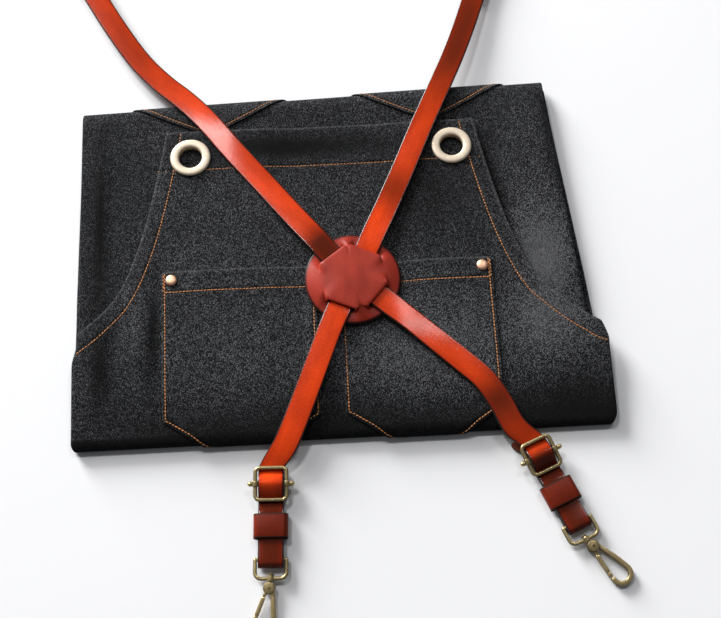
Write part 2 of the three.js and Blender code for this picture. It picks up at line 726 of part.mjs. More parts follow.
function endStations(end, rows) {
  const forward = headingOf(end.heading);
  const across = new THREE.Vector3().crossVectors(forward, UP);
  return rows.map(({ along, height, side = 0, half = strapHalf }) => {
    const place = new THREE.Vector3(end.x, end.y, height);
    place.addScaledVector(forward, along).addScaledVector(across, side);
    return { place, across, half };
  });
}

// A strap runs from an upper end over the apron and through the patch to a lower end.
function strap(upperEnd, route, lowerEnd) {
  const upper = endStations(upperEnd, upperEndRows()).reverse();
  upper.forEach((station) => (station.across = station.across.clone().negate()));
  const lower = endStations(lowerEnd, lowerEndRows(lowerEnd));
  const points = route.map(({ x, y, z }) => new THREE.Vector3(x, y, z));
  const through = [upper[upper.length - 1].place, ...points, lower[0].place];
  const curve = new THREE.CatmullRomCurve3(through, false, "centripetal");
  const lay = [];
  for (let i = 0; i + 1 < through.length; i++) {
    const steps = Math.ceil(through[i].distanceTo(through[i + 1]) / ROUTE_STEP);
    for (let k = 0; k < steps; k++) {
      const at = (i + k / steps) / (through.length - 1);
      const forward = curve.getTangent(at).setZ(0).normalize();
      const across = new THREE.Vector3().crossVectors(forward, UP);
      lay.push({ place: curve.getPoint(at), across, half: strapHalf });
    }
  }
  return ribbonSolid([...upper, ...lay.slice(1), ...lower], STRAP.wall);
}

// The patch is a disc with a slit for each strap: its middle lies over the straps, its rim under them.
function crossPatch() {
  const { x, y, wall, base, chord, clear } = CROSS_PATCH;
  const across = [-1, -0.5, 0, 0.5, 1];
  const nextSlit = (k) => (k + 1 < PATCH_SLITS.length ? PATCH_SLITS[k + 1] : PATCH_SLITS[0] + 360);
  const lobeSteps = PATCH_SLITS.map((angle, k) => {
    const room = nextSlit(k) - angle - PATCH_LOBES.slitSpan;
    return Math.max(2, Math.round(room / PATCH_LOBES.step));
  });
  const spread = (reach) => Math.asin(clear / Math.max(reach, chord));
  const points = PATCH_RINGS.map(({ name, reach, dome, lobe = dome }) => {
    const row = [];
    const put = (angle, distance, height) => {
      const place = new THREE.Vector3(Math.cos(angle), Math.sin(angle), 0).multiplyScalar(distance);
      row.push(place.add(new THREE.Vector3(x, y, base + height)));
    };
    PATCH_SLITS.forEach((angle, k) => {
      const at = degrees(angle);
      for (const share of across) {
        const turn = Math.asin((share * clear) / Math.max(reach, chord));
        const straight = name === "lip" || name === "rim_lip" ? 1 / Math.cos(turn) : 1;
        put(at + turn, reach * straight, dome);
      }
      const from = at + spread(reach);
      const to = degrees(nextSlit(k)) - spread(reach);
      for (let m = 1; m < lobeSteps[k]; m++) {
        const share = m / lobeSteps[k];
        const swell = mix(dome, lobe, Math.sin(Math.PI * share) ** 0.5);
        put(mix(from, to, share), reach * (name === "lip" ? PATCH_LOBES.lipReach : 1), swell);
      }
    });
    return row;
  });
  const starts = [0];
  lobeSteps.forEach((steps) => starts.push(starts[starts.length - 1] + across.length + steps - 1));
  const inSlit = (i) => starts.some((start) => i >= start && i < start + across.length - 1);
  const lipRing = PATCH_RINGS.findIndex((ring) => ring.name === "lip");
  return sheetSolid(points, wall, { ring: true, keep: (j, i) => j !== lipRing || !inSlit(i) });
}

// A rounded rectangle about the Y axis, with one corner radius at each end.
function roundedRectangle(halfWidth, low, high, lowCorner, highCorner) {
  const shape = new THREE.Shape();
  shape.moveTo(-halfWidth + lowCorner, low);
  shape.lineTo(halfWidth - lowCorner, low);
  shape.absarc(halfWidth - lowCorner, low + lowCorner, lowCorner, -Math.PI / 2, 0, false);
  shape.lineTo(halfWidth, high - highCorner);
  shape.absarc(halfWidth - highCorner, high - highCorner, highCorner, 0, Math.PI / 2, false);
  shape.lineTo(-halfWidth + highCorner, high);
  shape.absarc(-halfWidth + highCorner, high - highCorner, highCorner, Math.PI / 2, Math.PI, false);
  shape.lineTo(-halfWidth, low + lowCorner);
  shape.absarc(-halfWidth + lowCorner, low + lowCorner, lowCorner, Math.PI, 1.5 * Math.PI, false);
  return shape;
}

// A flat plate of a shape, its edges cut off by a soft amount, with its middle at z = 0.
function softExtrude(shape, wall, soft) {
  const geometry = new THREE.ExtrudeGeometry(shape, {
    depth: wall - 2 * soft,
    bevelEnabled: soft > 0,
    bevelThickness: soft,
    bevelSize: soft,
    bevelOffset: -soft,
    bevelSegments: 1,
    curveSegments: 1,
  });
  return geometry.translate(0, 0, -(wall - 2 * soft) / 2);
}

// A closed frame of wire along a rounded rectangle.
function wireFrame(halfWidth, low, high, wire, lowCorner, highCorner) {
  const shape = roundedRectangle(halfWidth, low, high, lowCorner, highCorner);
  const inside = (corner) => Math.max(corner - wire, SMALL_CORNER);
  shape.holes.push(
    roundedRectangle(halfWidth - wire, low + wire, high - wire, inside(lowCorner), inside(highCorner)),
  );
  return softExtrude(shape, wire, wire * WIRE_SOFT);
}

function sliderFrame() {
  const { halfWidth, halfLength, wire, corner } = SLIDER;
  return wireFrame(halfWidth, -halfLength, halfLength, wire, corner, corner);
}

// The slider's bar holds the frame's long sides in its two collars and ends in small knobs.
function sliderBar() {
  const { halfWidth, wire, bar, collarHalf, collarWall, knobAt, knob } = SLIDER;
  const side = halfWidth - wire / 2;
  const rod = new THREE.CylinderGeometry(bar / 2, bar / 2, 2 * knobAt, 6).rotateZ(Math.PI / 2);
  const ends = [-1, 1].flatMap((end) => [
    rodAlongY(wire / 2 + collarWall, -collarHalf, collarHalf, 8).translate(end * side, 0, 0),
    new THREE.SphereGeometry(knob, 6, 4).translate(end * knobAt, 0, 0),
  ]);
  const bores = [-1, 1].map((end) =>
    rodAlongY(wire / 2 + GAP, -2 * collarHalf, 2 * collarHalf, 8).translate(end * side, 0, 0),
  );
  return cut(join(rod, ...ends), ...bores);
}

// The keeper is a leather band round both plies of the strap.
function keeper() {
  const { width, height, wall, round, length } = KEEPER;
  const corner = height * round;
  const shape = roundedRectangle(width / 2, -height / 2, height / 2, corner, corner);
  const innerCorner = corner - wall;
  const innerHalf = height / 2 - wall;
  shape.holes.push(roundedRectangle(width / 2 - wall, -innerHalf, innerHalf, innerCorner, innerCorner));
  const band = new THREE.ExtrudeGeometry(shape, { depth: length, bevelEnabled: false, curveSegments: 2 });
  return band.translate(0, 0, -length / 2).rotateX(Math.PI / 2);
}

// The swivel ring has a straight bar for the strap and a bored hub for the hook's stem.
const ringWire = () => {
  const { halfWidth, length, wire, barCorner, corner } = SWIVEL_RING;
  return wireFrame(halfWidth, -wire / 2, length + wire / 2, wire, barCorner, corner);
};
const ringHub = (turn) =>
  rodAlongY(SWIVEL_RING.hub / 2, -SWIVEL_RING.hubLength / 2, SWIVEL_RING.hubLength / 2, 12)
    .rotateX(-HOOK_PITCH)
    .rotateZ(turn)
    .translate(0, SWIVEL_RING.length, 0);

function swivelRing(turn) {
  const { hubLength, play } = SWIVEL_RING;
  const bore = rodAlongY(SNAP_HOOK.stem + play, -1.5 * hubLength, 1.5 * hubLength, 12)
    .rotateX(-HOOK_PITCH)
    .rotateZ(turn)
    .translate(0, SWIVEL_RING.length, 0);
  return cut(join(ringWire(), ringHub(turn)), bore);
}

// An outline of even width along a line of points.
function strokeShape(line, half) {
  const left = [];
  const right = [];
  line.forEach((point, i) => {
    const before = line[Math.max(i - 1, 0)];
    const after = line[Math.min(i + 1, line.length - 1)];
    const along = new THREE.Vector2().subVectors(after, before).normalize();
    left.push(new THREE.Vector2(point.x - along.y * half, point.y + along.x * half));
    right.push(new THREE.Vector2(point.x + along.y * half, point.y - along.x * half));
  });
  return new THREE.Shape([...left, ...right.reverse()]);
}

// The hook in its own plane: its stem on the Y axis, its long arm on the left, its gate on the right.
function hookArm() {
  const { pivot, head, curlAt, curl, curlFrom, curlTo, curlStep, armBend, arm, wall, soft } = SNAP_HOOK;
  const line = [
    new THREE.Vector2(-head + arm, pivot),
    new THREE.Vector2(-curl + armBend.in, curlAt - armBend.below),
  ];
  for (let angle = curlFrom; angle >= curlTo; angle -= curlStep) {
    const turn = degrees(angle);
    line.push(new THREE.Vector2(curl * Math.cos(turn), curlAt + curl * Math.sin(turn)));
  }
  return softExtrude(strokeShape(line, arm), wall, soft);
}

// A round disc or pin on the axis that the gate turns about.
const onPivot = (radius, wall, sides) =>
  new THREE.CylinderGeometry(radius, radius, wall, sides)
    .rotateX(Math.PI / 2)
    .translate(0, SNAP_HOOK.pivot, 0);
const hookHead = () => onPivot(SNAP_HOOK.head, SNAP_HOOK.headWall, 12);
const hookPin = (radius, length) => onPivot(radius, length, 10);

// The stem and its cap, which keeps the hook on the ring's hub.
function hookStem() {
  const { pivot, stem, stemInHead, cap, capGap, capWall } = SNAP_HOOK;
  const capFrom = -SWIVEL_RING.hubLength / 2 - capGap;
  const rod = rodAlongY(stem, capFrom - capGap, pivot - stemInHead, 10);
  return join(rod, rodAlongY(cap, capFrom - capWall, capFrom, 10));
}

function snapHook() {
  const { pivot, headWall } = SNAP_HOOK;
  const { slot, pin, pinProud } = GATE;
  const body = join(hookArm(), hookHead(), hookStem());
  const room = new THREE.BoxGeometry(slot.width, slot.length, slot.wall);
  room.translate(slot.x, pivot + slot.past, 0);
  return join(cut(body, room), hookPin(pin, headWall + pinProud));
}

function gateLine() {
  const { pivot, curlAt, curl } = SNAP_HOOK;
  const { near, tip } = GATE;
  return [new THREE.Vector2(near.x, pivot + near.past), new THREE.Vector2(curl - tip.in, curlAt - tip.below)];
}

// The gate's thin root turns on the hook's pin, and its thicker arm closes the mouth.
function hookGate() {
  const { rootWall, tongueFrom, armShare, wall, soft } = GATE;
  const root = onPivot(GATE.root, rootWall, 12);
  const [from, to] = gateLine();
  const tongueStart = new THREE.Vector2(tongueFrom, SNAP_HOOK.pivot);
  const tongue = softExtrude(strokeShape([tongueStart, to], GATE.tongue), rootWall, 0);
  const arm = softExtrude(strokeShape([from.clone().lerp(to, armShare), to], GATE.arm), wall, soft);
  return cut(join(root, tongue, arm), hookPin(GATE.pinHole, 2 * SNAP_HOOK.headWall));
}

// A plain hook in one flat piece: a straight bar for the strap, a neck and a closed hook.
function plainHook() {
  const { length, wire } = SWIVEL_RING;
  const { pivot, head, curlAt, curl, arm } = SNAP_HOOK;
  const outline = (grow) => {
    const points = [new THREE.Vector2(head - 2 * arm + grow, length + pivot - grow)];
    for (let angle = 0; angle <= 180; angle += END_HOOK.step) {
      const turn = degrees(angle);
      const reach = curl + grow;
      points.push(new THREE.Vector2(reach * Math.cos(turn), length + curlAt + reach * Math.sin(turn)));
    }
    points.push(new THREE.Vector2(2 * arm - head - grow, length + pivot - grow));
    return points;
  };
  const hook = new THREE.Shape(outline(arm));
  hook.holes.push(new THREE.Path(outline(-arm)));
  const neckEnd = length + pivot + END_HOOK.neck;
  const neck = roundedRectangle(head, length, neckEnd, SMALL_CORNER, SMALL_CORNER);
  return join(ringWire(), softExtrude(hook, wire, 0), softExtrude(neck, wire, 0));
}

// The apron with all its pieces, each a named mesh.
const apron = new THREE.Group();

function piece(parent, name, geometry, material) {
  const mesh = new THREE.Mesh(geometry, material);
  mesh.name = name;
  parent.add(mesh);
}

// A group whose Y axis points along a heading on the table.
function placedGroup(x, y, z, heading) {
  const group = new THREE.Group();
  group.position.set(x, y, z);
  group.rotation.z = degrees(heading - 90);
  apron.add(group);
  return group;
}

piece(apron, "apron_body", apronBody(), denim);
for (const [name, side] of [["left", -1], ["right", 1]]) {
  piece(apron, `chest_pocket_${name}`, chestPocket(side), denim);
  piece(apron, `hand_pocket_${name}`, handPocket(side), denim);
  piece(apron, `eyelet_${name}`, eyelet(side), paleBrass);
  piece(apron, `pocket_rivet_${name}`, rivet(side), copper);
}
piece(apron, "cross_patch", crossPatch(), patchLeather);
piece(apron, "strap_under", strap(UPPER_ENDS.right, ROUTE_RIGHT_TO_LEFT, LOWER_ENDS.left), harnessLeather);
piece(apron, "strap_over", strap(UPPER_ENDS.left, ROUTE_LEFT_TO_RIGHT, LOWER_ENDS.right), harnessLeather);

for (const [name, end] of Object.entries(LOWER_ENDS)) {
  const fittings = placedGroup(end.x, end.y, 0, end.heading);
  const slider = new THREE.Group();
  const sliderAt = tipped(0, SLIDER.height, end.tilt);
  slider.position.set(0, sliderAt.along, sliderAt.height);
  slider.rotation.x = -degrees(end.tilt);
  fittings.add(slider);
  piece(slider, `slider_frame_${name}`, sliderFrame(), antiqueBrass);
  piece(slider, `slider_bar_${name}`, sliderBar(), antiqueBrass);
  const band = new THREE.Group();
  band.position.set(0, KEEPER.along, KEEPER.lift + KEEPER.height / 2);
  fittings.add(band);
  piece(band, `keeper_${name}`, keeper(), patchLeather);
  const ring = new THREE.Group();
  ring.position.set(0, SWIVEL_RING.along, SWIVEL_RING.height);
  fittings.add(ring);
  const turn = degrees(end.hookHeading - end.heading);
  piece(ring, `swivel_ring_${name}`, swivelRing(turn), antiqueBrass);
  const hook = new THREE.Group();
  hook.position.y = SWIVEL_RING.length;
  hook.rotation.set(-HOOK_PITCH, 0, turn, "ZXY");
  ring.add(hook);
  piece(hook, `snap_hook_${name}`, snapHook(), antiqueBrass);
  piece(hook, `hook_gate_${name}`, hookGate(), antiqueBrass);
}

for (const [name, end] of Object.entries(UPPER_ENDS)) {
  const hook = placedGroup(end.x, end.y, SWIVEL_RING.height, end.heading);
  hook.rotation.set(-END_HOOK_PITCH, 0, degrees(end.heading - 90), "ZXY");
  piece(hook, `end_hook_${name}`, plainHook(), antiqueBrass);
}

// The origin is the middle of the underside.
const extent = new THREE.Box3().setFromObject(apron, true);
const middle = extent.getCenter(new THREE.Vector3());
apron.position.set(-middle.x, -middle.y, -extent.min.z);

export default apron;
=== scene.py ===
"""A bib apron of charcoal denim, folded flat, with its crossed leather harness laid over it.

Shapes are worked out in millimetres from the bib's centre line (x), the waist fold (y) and the table (z).
They are moved into the shared frame, in metres, when a mesh is made.
"""

import logging
import math
from dataclasses import dataclass, field
from enum import IntEnum
from typing import Any, Optional, Sequence

import bmesh
import bpy
import numpy as np
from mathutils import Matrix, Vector


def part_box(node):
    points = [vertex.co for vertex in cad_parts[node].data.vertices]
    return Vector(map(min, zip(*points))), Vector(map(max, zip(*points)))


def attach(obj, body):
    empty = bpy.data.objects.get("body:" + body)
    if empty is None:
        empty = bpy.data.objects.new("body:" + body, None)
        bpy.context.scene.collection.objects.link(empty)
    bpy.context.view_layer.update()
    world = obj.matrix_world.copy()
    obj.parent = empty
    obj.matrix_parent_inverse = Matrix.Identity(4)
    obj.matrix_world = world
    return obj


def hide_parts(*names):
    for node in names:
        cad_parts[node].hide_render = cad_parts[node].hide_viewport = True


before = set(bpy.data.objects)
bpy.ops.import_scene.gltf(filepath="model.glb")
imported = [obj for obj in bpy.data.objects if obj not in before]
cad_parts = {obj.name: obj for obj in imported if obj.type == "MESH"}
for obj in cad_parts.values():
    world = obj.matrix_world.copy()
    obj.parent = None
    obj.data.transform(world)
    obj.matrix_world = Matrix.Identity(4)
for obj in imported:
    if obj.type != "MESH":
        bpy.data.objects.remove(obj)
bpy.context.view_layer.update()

Array = np.ndarray
Piece = bpy.types.Object
Span = tuple[float, float]
Pairs = tuple[tuple[float, float], ...]
MM = 0.001
MERGE = 1e-6
EYELET_X = 107.3
EYELET_ABOVE_WAIST = 241.0
UV_LAYER = "lay"
NO_ROWS = np.zeros(0)
LOG = logging.getLogger("apron")


def frame_shift() -> Array:
    """Finds the shared frame's place of the bib centre line and the waist fold, from the two eyelets.

    Returns:
        The shift in millimetres that takes a measured place to the shared frame.
    """
    low_left, high_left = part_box("eyelet_left")
    low_right, high_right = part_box("eyelet_right")
    middle_x = (low_left.x + high_left.x + low_right.x + high_right.x) / 4.0
    eyelet_y = (low_left.y + high_left.y) / 2.0
    return np.array([middle_x / MM, eyelet_y / MM - EYELET_ABOVE_WAIST, 0.0])


SHIFT = frame_shift()


def to_frame(points: Array) -> Array:
    """Turns measured millimetres into metres of the shared frame."""
    return (points + SHIFT) * MM


def ease(value: Array, start: float, end: float) -> Array:
    """Goes smoothly from 0 at start to 1 at end, as 3t^2 - 2t^3."""
    share = np.clip((np.asarray(value, float) - start) / (end - start), 0.0, 1.0)
    return share * share * (3.0 - 2.0 * share)


def unit(vectors: Array) -> Array:
    """Scales vectors to length 1."""
    return vectors / np.maximum(np.linalg.norm(vectors, axis=-1, keepdims=True), 1e-9)


@dataclass(frozen=True)
class SmoothTable:
    """A smooth curve through rows of key and value that never overshoots them."""

    rows: Pairs

    def __call__(self, at: Array) -> Array:
        """Looks values up by cubic pieces whose slopes are harmonic means of the chords' slopes.

        Args:
            at: Keys to look up.

        Returns:
            The values at those keys.
        """
        keys, values = np.array(self.rows, float).T
        spans = np.diff(keys)
        slopes = np.diff(values) / spans
        before = np.concatenate([slopes[:1], slopes])
        after = np.concatenate([slopes, slopes[-1:]])
        same_way = before * after > 0
        total = np.where(same_way, before + after, 1.0)
        tangents = np.where(same_way, 2.0 * before * after / total, 0.0)
        at = np.asarray(at, float)
        piece = np.clip(np.searchsorted(keys, at, side="right") - 1, 0, len(spans) - 1)
        t = np.clip((at - keys[piece]) / spans[piece], 0.0, 1.0)
        level = values[piece] * (1 + 2 * t) * (1 - t) ** 2 + values[piece + 1] * t * t * (3 - 2 * t)
        bend = tangents[piece] * t * (1 - t) ** 2 + tangents[piece + 1] * t * t * (t - 1)
        return level + spans[piece] * bend


def smooth_path(keys: Array, steps: int) -> Array:
    """Carries a centripetal Catmull-Rom curve through key points.

    Args:
        keys: Key points, one per row.
        steps: Pieces between two key points.

    Returns:
        Points of the curve, with every key point among them.
    """
    ends = np.vstack([2 * keys[0] - keys[1], keys, 2 * keys[-1] - keys[-2]])
    gaps = np.sqrt(np.maximum(np.linalg.norm(np.diff(ends, axis=0), axis=1), 1e-6))
    p0, p1, p2, p3 = (ends[i : len(ends) - 3 + i, None, :] for i in range(4))
    d1, d2, d3 = (gaps[i : len(gaps) - 2 + i, None, None] for i in range(3))
    t = np.linspace(0.0, 1.0, steps, endpoint=False)[None, :, None] * d2
    a1 = (p0 * -t + p1 * (t + d1)) / d1
    a2 = (p1 * (d2 - t) + p2 * t) / d2
    a3 = (p2 * (d2 + d3 - t) + p3 * (t - d2)) / d3
    b1 = (a1 * (d2 - t) + a2 * (t + d1)) / (d1 + d2)
    b2 = (a2 * (d2 + d3 - t) + a3 * t) / (d2 + d3)
    curve = (b1 * (d2 - t) + b2 * t) / d2
    return np.vstack([curve.reshape(-1, keys.shape[1]), keys[-1:]])


def spread(values: Array, steps: int) -> Array:
    """Interpolates key values linearly, step for step with smooth_path."""
    count = len(values)
    at = np.linspace(0.0, count - 1.0, (count - 1) * steps + 1)
    low = np.minimum(at.astype(int), count - 2)
    share = (at - low).reshape((-1,) + (1,) * (values.ndim - 1))
    return values[low] * (1.0 - share) + values[low + 1] * share


def lengths_along(points: Array) -> Array:
    """Measures the length run along a line of points."""
    return np.concatenate([[0.0], np.cumsum(np.linalg.norm(np.diff(points, axis=0), axis=1))])


def side_name(side: int) -> str:
    """Names the side of a paired piece: left for -1, right for 1."""
    return "left" if side < 0 else "right"


def nearer(first: Array, second: Array) -> Array:
    """Takes the smaller of two signed distances, whichever way each points."""
    return np.where(np.abs(first) < np.abs(second), first, second)


def strip_area(widths: Array, lengths: Array) -> float:
    """Adds up the area in square metres of a strip whose width is known along its length."""
    return float(((widths[1:] + widths[:-1]) / 2.0 * np.diff(lengths)).sum()) * MM * MM


@dataclass(frozen=True)
class Placement:
    """Where a fitting lies: its origin, and its own x, y and z directions as rows."""

    origin: Array
    axes: Array

    @staticmethod
    def on_table(x: float, y: float, z: float, heading: float) -> "Placement":
        """Lays a fitting on the table with its y axis along a heading in degrees from +X."""
        turn = math.radians(heading)
        forward = [math.cos(turn), math.sin(turn), 0.0]
        across = [math.sin(turn), -math.cos(turn), 0.0]
        return Placement(np.array([x, y, z]), np.array([across, forward, [0.0, 0.0, 1.0]]))

    def child(self, offset: Sequence[float], pitch: float = 0.0, turn: float = 0.0) -> "Placement":
        """Places a further piece on this one.

        Args:
            offset: Its origin, in this placement's axes.
            pitch: Its turn about its own x axis, in degrees.
            turn: Its turn about this placement's z axis, in degrees, made after the pitch.

        Returns:
            The further piece's placement.
        """
        cp, sp = math.cos(math.radians(pitch)), math.sin(math.radians(pitch))
        ct, st = math.cos(math.radians(turn)), math.sin(math.radians(turn))
        local = np.array([[ct, st, 0.0], [-st * cp, ct * cp, sp], [st * sp, -ct * sp, cp]])
        return Placement(self.place(np.array(offset, float)), local @ self.axes)

    def place(self, local: Array) -> Array:
        """Moves points from this placement's axes to measured places."""
        return self.origin + local @ self.axes


def cell_corners(rows: int, columns: int) -> Array:
    """Numbers the corners of each cell of a grid of points, in order round the cell.

    Args:
        rows: Rows of points.
        columns: Columns of points.

    Returns:
        Point numbers, cells down by cells across by 4.
    """
    index = np.arange(rows * columns).reshape(rows, columns)
    return np.stack([index[:-1, :-1], index[:-1, 1:], index[1:, 1:], index[1:, :-1]], axis=-1)


def bordered(cells: Array, disc: bool) -> Array:
    """Puts a border round a grid of cells: empty, or on a disc the cells across its seam."""
    whole = np.zeros((cells.shape[0] + 2, cells.shape[1] + 2) + cells.shape[2:], cells.dtype)
    whole[1:-1, 1:-1] = cells
    if disc:
        whole[1:-1, 0], whole[1:-1, -1] = cells[:, -1], cells[:, 0]
    return whole


def sheet_normals(points: Array, kept: Array, disc: bool) -> Array:
    """Gives the mean normal of the kept cells round each point of a grid.

    Args:
        points: The grid, rows by columns by 3.
        kept: Which cells count.
        disc: Whether the first row is a disc's middle point and the last column repeats the first.

    Returns:
        Unit normals, rows by columns by 3.
    """
    a, b, c, d = points[:-1, :-1], points[:-1, 1:], points[1:, 1:], points[1:, :-1]
    facing = bordered(unit(np.cross(d - b, c - a)) * kept[..., None], disc)
    if disc:
        facing[:2] = facing[1, 1:-1].sum(axis=0)
    return unit(facing[:-1, :-1] + facing[1:, :-1] + facing[:-1, 1:] + facing[1:, 1:])


def open_sides(points: Array, kept: Array, disc: bool) -> tuple[Array, Array, Array]:
    """Finds the sides of kept cells that no kept neighbour shares.

    Args:
        points: The grid, rows by columns by 3.
        kept: Which cells are there.
        disc: Whether the first row is a disc's middle point and the last column repeats the first.

    Returns:
        The points where the sides start, the points where they stop, and the way out at each point.
    """
    cells = cell_corners(*points.shape[:2])
    flat = points.reshape(-1, 3)
    whole = bordered(kept, disc)
    if disc:
        whole[0] = True
    centre = flat[cells].mean(axis=2)
    outward = np.zeros_like(flat)
    starts, stops = [], []
    for k, beside in enumerate((whole[:-2, 1:-1], whole[1:-1, 2:], whole[2:, 1:-1], whole[1:-1, :-2])):
        is_open = kept & ~beside
        start, stop = cells[is_open, k], cells[is_open, (k + 1) % 4]
        away = unit((flat[start] + flat[stop]) / 2.0 - centre[is_open])
        np.add.at(outward, start, away)
        np.add.at(outward, stop, away)
        starts.append(start)
        stops.append(stop)
    return np.concatenate(starts), np.concatenate(stops), outward


@dataclass
class Draft:
    """Grids of points that are gathered into one mesh."""

    points: list[Array] = field(default_factory=list)
    maps: list[Array] = field(default_factory=list)
    quads: list[Array] = field(default_factory=list)
    marks: dict[str, list[tuple[int, Array]]] = field(default_factory=dict)
    count: int = 0
    edge_angles: tuple[float, ...] = (50.0, 0.0, -50.0)

    def add(self, points: Array, quads: Array, lay: Optional[Array] = None, **marks: Array) -> None:
        """Adds points and the four-cornered faces between them.

        Args:
            points: Places, one per row.
            quads: Four point numbers per face.
            lay: Two map coordinates per point, in millimetres along the material.
            marks: Numbers per point for the finishes, by name.
        """
        self.points.append(points)
        self.quads.append(quads + self.count)
        self.maps.append(np.zeros((len(points), 2)) if lay is None else lay)
        for name, values in marks.items():
            whole = np.broadcast_to(values, (len(points),))
            self.marks.setdefault(name, []).append((self.count, whole))
        self.count += len(points)

    def add_grid(self, points: Array, lay: Optional[Array] = None, **marks: Array) -> None:
        """Adds a grid of points as a surface: rows by columns by 3.

        Args:
            points: The grid. A closed direction repeats its first row or column at its end.
            lay: Map coordinates, rows by columns by 2.
            marks: Numbers for the finishes, rows by columns or one for all.
        """
        rows, columns = points.shape[:2]
        flat = {name: np.broadcast_to(values, (rows, columns)).ravel() for name, values in marks.items()}
        self.add(
            points.reshape(-1, 3),
            cell_corners(rows, columns).reshape(-1, 4),
            None if lay is None else lay.reshape(-1, 2),
            **flat,
        )

    def add_cap(self, ring: Array, lay: Optional[Array] = None, **marks: Array) -> None:
        """Closes the end of a swept surface with rings that shrink to the middle of its last one."""
        middle = ring[:-1].mean(axis=0)
        shares = np.array([1.0, 0.6, 0.0])[:, None, None]
        whole = None if lay is None else np.broadcast_to(lay, (3,) + lay.shape)
        self.add_grid(middle + (ring - middle) * shares, whole, **marks)

    def add_sheet(
        self,
        points: Array,
        wall: Array,
        keep: Optional[Array],
        lay: Array,
        disc: bool = False,
        **marks: Array,
    ) -> None:
        """Gives a grid of cloth its thickness, with half-round edges along its open sides.

        Both faces lie half a wall from the grid along its mean normal n. An edge point goes from one face
        to the other as p + w/2 (n sin a + o cos a), where o points out of the cloth.

        Args:
            points: The cloth's middle, rows by columns by 3.
            wall: Its thickness, rows by columns or one for all.
            keep: Which cells are cloth, or None for all.
            lay: Map coordinates, rows by columns by 2.
            disc: Whether the first row is a disc's middle point and the last column repeats the first.
            marks: Numbers for the finishes, rows by columns.
        """
        shape = points.shape[:2]
        kept = np.ones((shape[0] - 1, shape[1] - 1), bool) if keep is None else keep
        flat = points.reshape(-1, 3)
        normal = sheet_normals(points, kept, disc).reshape(-1, 3)
        half = np.broadcast_to(wall, shape).reshape(-1, 1) / 2.0
        start, stop, outward = open_sides(points, kept, disc)
        out = unit(outward - (outward * normal).sum(1, keepdims=True) * normal)
        edge = np.unique(np.concatenate([start, stop]))
        rings = [flat + normal * half, flat - normal * half]
        for angle in np.radians(self.edge_angles):
            lean = normal[edge] * math.sin(angle) + out[edge] * math.cos(angle)
            rings.append(flat[edge] + half[edge] * lean)
        whole = np.arange(len(flat))
        number = np.zeros(len(flat), int)
        number[edge] = np.arange(len(edge))
        steps = len(self.edge_angles)
        between = [2 * len(flat) + k * len(edge) + number for k in range(steps)]
        chain = [whole, *between, whole + len(flat)]
        walls = [
            np.stack([near[start], near[stop], far[stop], far[start]], axis=-1)
            for near, far in zip(chain[:-1], chain[1:])
        ]
        quads = cell_corners(*shape)[kept]
        repeat = np.concatenate([whole, whole] + [edge] * steps)
        flat_marks = {name: np.broadcast_to(values, shape).ravel() for name, values in marks.items()}
        self.add(
            np.concatenate(rings),
            np.concatenate([quads, quads[:, ::-1] + len(flat)] + walls),
            lay.reshape(-1, 2)[repeat],
            **{name: values[repeat] for name, values in flat_marks.items()},
        )

    def build(self, name: str, smooth: float = 40.0) -> Piece:
        """Makes the mesh: merges coincident points, turns the faces out and shades it smooth.

        Args:
            name: The piece's name.
            smooth: Edges sharper than this many degrees stay sharp.

        Returns:
            The new object, at the origin, with its place in its mesh.
        """
        points, quads = np.concatenate(self.points), np.concatenate(self.quads)
        used, quads = np.unique(quads, return_inverse=True)
        quads = quads.reshape(-1, 4)
        mesh = bpy.data.meshes.new(name)
        mesh.from_pydata(to_frame(points[used]).tolist(), [], quads.tolist())
        corners = np.empty(len(mesh.loops), np.int32)
        mesh.loops.foreach_get("vertex_index", corners)
        lay = np.concatenate(self.maps)[used] * MM
        layer = mesh.uv_layers.new(name=UV_LAYER)
        layer.data.foreach_set("uv", lay[corners].astype(np.float32).ravel())
        for mark, parts in self.marks.items():
            values = np.zeros(self.count)
            for first, part in parts:
                values[first : first + len(part)] = part
            attribute = mesh.attributes.new(name=mark, type="FLOAT", domain="POINT")
            attribute.data.foreach_set("value", values[used].astype(np.float32))
        work = bmesh.new()
        work.from_mesh(mesh)
        bmesh.ops.remove_doubles(work, verts=work.verts, dist=MERGE)
        bmesh.ops.recalc_face_normals(work, faces=work.faces)
        work.to_mesh(mesh)
        work.free()
        mesh.polygons.foreach_set("use_smooth", np.ones(len(mesh.polygons), bool))
        mesh.set_sharp_from_angle(angle=math.radians(smooth))
        made = bpy.data.objects.new(name, mesh)
        bpy.context.scene.collection.objects.link(made)
        return made


def rounded_line(
    half_width: float, low: float, high: float, corners: Span, steps: int = 8
) -> Array:
    """Draws a rounded rectangle about the y axis, as four quarter turns from its right side on.

    Args:
        half_width: Half its width.
        low: Its lowest y.
        high: Its highest y.
        corners: Corner radii at the low and the high side.
        steps: Pieces in each quarter turn.

    Returns:
        The closed line, with its first point again at its end.
    """
    turns = np.radians(np.linspace(0.0, 90.0, steps + 1)) + np.arange(4)[:, None] * math.pi / 2.0
    right = np.array([[1.0], [-1.0], [-1.0], [1.0]])
    top = np.array([[1.0], [1.0], [-1.0], [-1.0]])
    radius = np.where(top > 0.0, corners[1], corners[0])
    x = right * (half_width - radius) + radius * np.cos(turns)
    y = np.where(top > 0.0, high, low) - top * radius + radius * np.sin(turns)
    line = np.stack([x, y], axis=-1).reshape(-1, 2)
    return np.vstack([line, line[:1]])


def rounded_section(half_width: float, half_height: float, corner: float, steps: int) -> Array:
    """Draws a closed rounded rectangle about the origin, with steps pieces in each quarter turn."""
    return rounded_line(half_width, -half_height, half_height, (corner, corner), steps)


